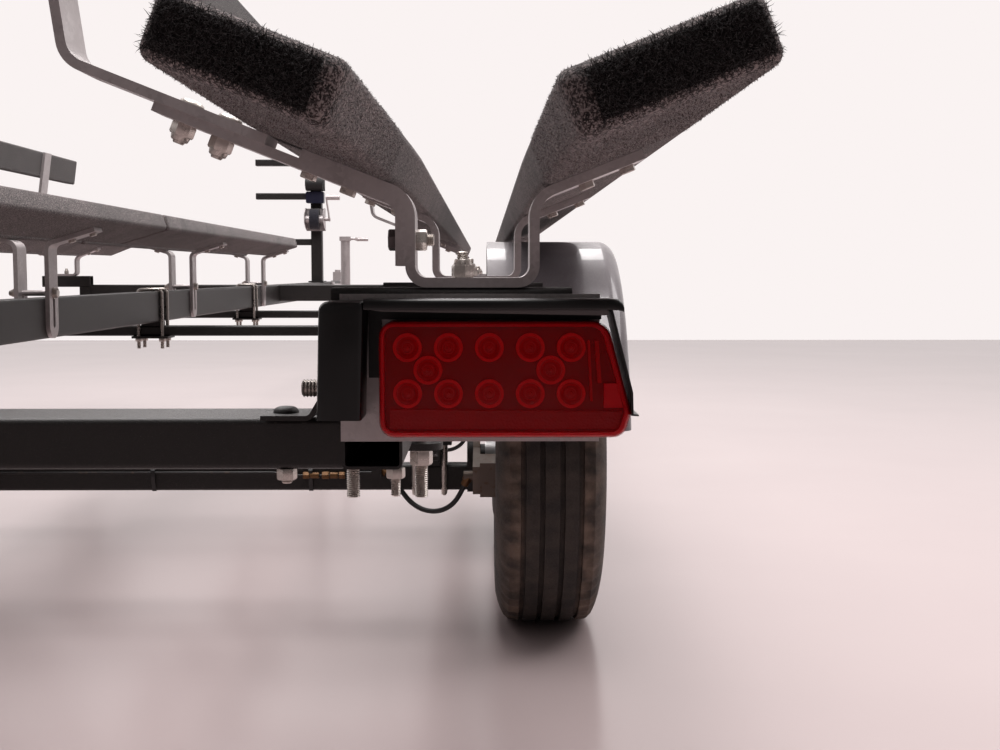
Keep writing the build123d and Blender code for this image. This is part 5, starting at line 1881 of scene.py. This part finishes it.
@dataclass
class BrakeLines:
    """Steel brake lines along the axles, with brass unions and ties."""

    finishes: Finishes
    z: float = 0.301
    sag: float = 0.006
    radius: float = 0.0024

    def build(self) -> None:
        """Builds the lines of both axles."""
        for end, station in AXLE_STATIONS.items():
            y = along(station) - 0.0254 - 0.0062
            mesh = bmesh.new()
            for side in Side:
                route = [(side.value * x, y, self.z - drop) for x, drop in (
                    (0.7582, 0.0), (0.718, 0.0), (0.700, self.sag), (0.600, self.sag),
                    (0.560, 0.0), (0.0, 0.0))]
                round_bar(mesh, bent_path(route, 0.020), self.radius, 10)
                for start, length, reach, sides in ((0.704, 0.012, 0.0076, 6), (0.690, 0.016, 0.0064, 20),
                                                    (0.672, 0.014, 0.0082, 6), (0.652, 0.018, 0.0062, 20),
                                                    (0.633, 0.013, 0.0078, 6)):
                    lathe(mesh, ((0.0, 0.0), (0.0, reach * 0.9), (length * 0.1, reach), (length * 0.9, reach),
                                 (length, reach * 0.9), (length, 0.0)),
                          Vector((side.value * start, y, self.z - self.sag)),
                          Vector((-side.value, 0, 0)), sides, 1)
            publish(f"{end}_brake_line", mesh, [self.finishes["spring"], self.finishes["brass"]], 30.0)
            self._ties(end, along(station), y)

    def _ties(self, end: str, middle: float, y: float) -> None:
        """Straps the line to the axle.

        Args:
            end: rear or front.
            middle: the axle's Y.
            y: the line's Y.
        """
        mesh = bmesh.new()
        low, high, half = 0.2636 - 0.0009, 0.3144 + 0.0009, 0.0263
        path = bent_path([(0, middle + half, low), (0, middle + half, high), (0, middle - half, high),
                          (0, y - 0.0042, self.z + 0.004), (0, y - 0.0042, self.z - 0.008),
                          (0, middle - half, low),
                          (0, middle + half - 0.001, low)], 0.0020, 3)
        for x in (-0.635, -0.32, 0.0, 0.32, 0.635):
            inner = [mesh.verts.new((x - 0.004, point.y, point.z)) for point in path]
            outer = [mesh.verts.new((x + 0.004, point.y, point.z)) for point in path]
            for index in range(len(path) - 1):
                mesh.faces.new((inner[index], inner[index + 1], outer[index + 1], outer[index]))
        bmesh.ops.recalc_face_normals(mesh, faces=mesh.faces)
        bmesh.ops.solidify(mesh, geom=mesh.faces[:], thickness=0.0014)
        publish(f"{end}_line_ties", mesh, [self.finishes["hose"]], 40.0)


@dataclass
class WinchTrim:
    """The strap on the winch's drum and the cover above it."""

    finishes: Finishes
    station: float = 6.308
    z: float = 1.010

    def build(self) -> None:
        """Builds the winch's trim."""
        mesh = bmesh.new()
        centre = Vector((-0.026, along(self.station), self.z))
        profile = [(0.0, 0.023)]
        for turn in range(13):
            profile += [(0.0006, 0.024 + turn * 0.0028), (0.0, 0.0254 + turn * 0.0028)]
        reach = profile[-1][1]
        width = 0.052
        profile += [(width, reach)] + [(width - distance, radius)
                                       for distance, radius in reversed(profile[:-1])]
        lathe(mesh, profile, centre, Vector((1, 0, 0)), 40, 0, True)
        publish("winch_strap", mesh, [self.finishes["webbing"]], 40.0)
        mesh = bmesh.new()
        outline = rounded(((-0.052, 1.103), (0.052, 1.103), (0.052, 1.170), (-0.052, 1.170)), (0.008,) * 4, 4)
        prism(mesh, outline, lambda u, v, depth: (u, along(depth), v), 6.318, 6.3675)
        publish("winch_cover", mesh, [self.finishes["navy"]], 40.0)


@dataclass
class FenderTops:
    """Non-skid pads on the fenders."""

    finishes: Finishes
    across: Flat = (1.012, 1.180)
    stations: Flat = (1.42, 2.15)
    heights: Flat = (0.7622, 0.7636)

    def build(self) -> None:
        """Lays a pad on the flat top of each fender."""
        (near, far), (rear, front) = self.across, (along(station) for station in self.stations)
        outline = rounded(((near, rear), (far, rear), (far, front), (near, front)), (0.012,) * 4)
        for side in Side:
            mesh = bmesh.new()
            prism(mesh, outline, lambda u, v, depth: (side.value * u, v, depth), *self.heights)
            publish(f"fender_pad_{side.label}", mesh, [self.finishes["grit"]], 30.0, "")


def main() -> None:
    """Builds the studio and dresses the trailer, piece by piece."""
    logging.basicConfig(level=logging.INFO, format="%(message)s")
    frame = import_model()
    finishes = Finishes()
    Studio().build()
    BareNodes(finishes).build(frame["nodes"])
    BrakeHoses(finishes).build()
    BunkBoards(finishes).build()
    TreadedTyre(finishes).build()
    TailLamps(finishes).build()
    LampGuards(finishes).build()
    Fasteners(finishes).build()
    FenderTops(finishes).build()
    BrakeLines(finishes).build()
    WinchTrim(finishes).build()


if __name__ == "__main__":
    main()
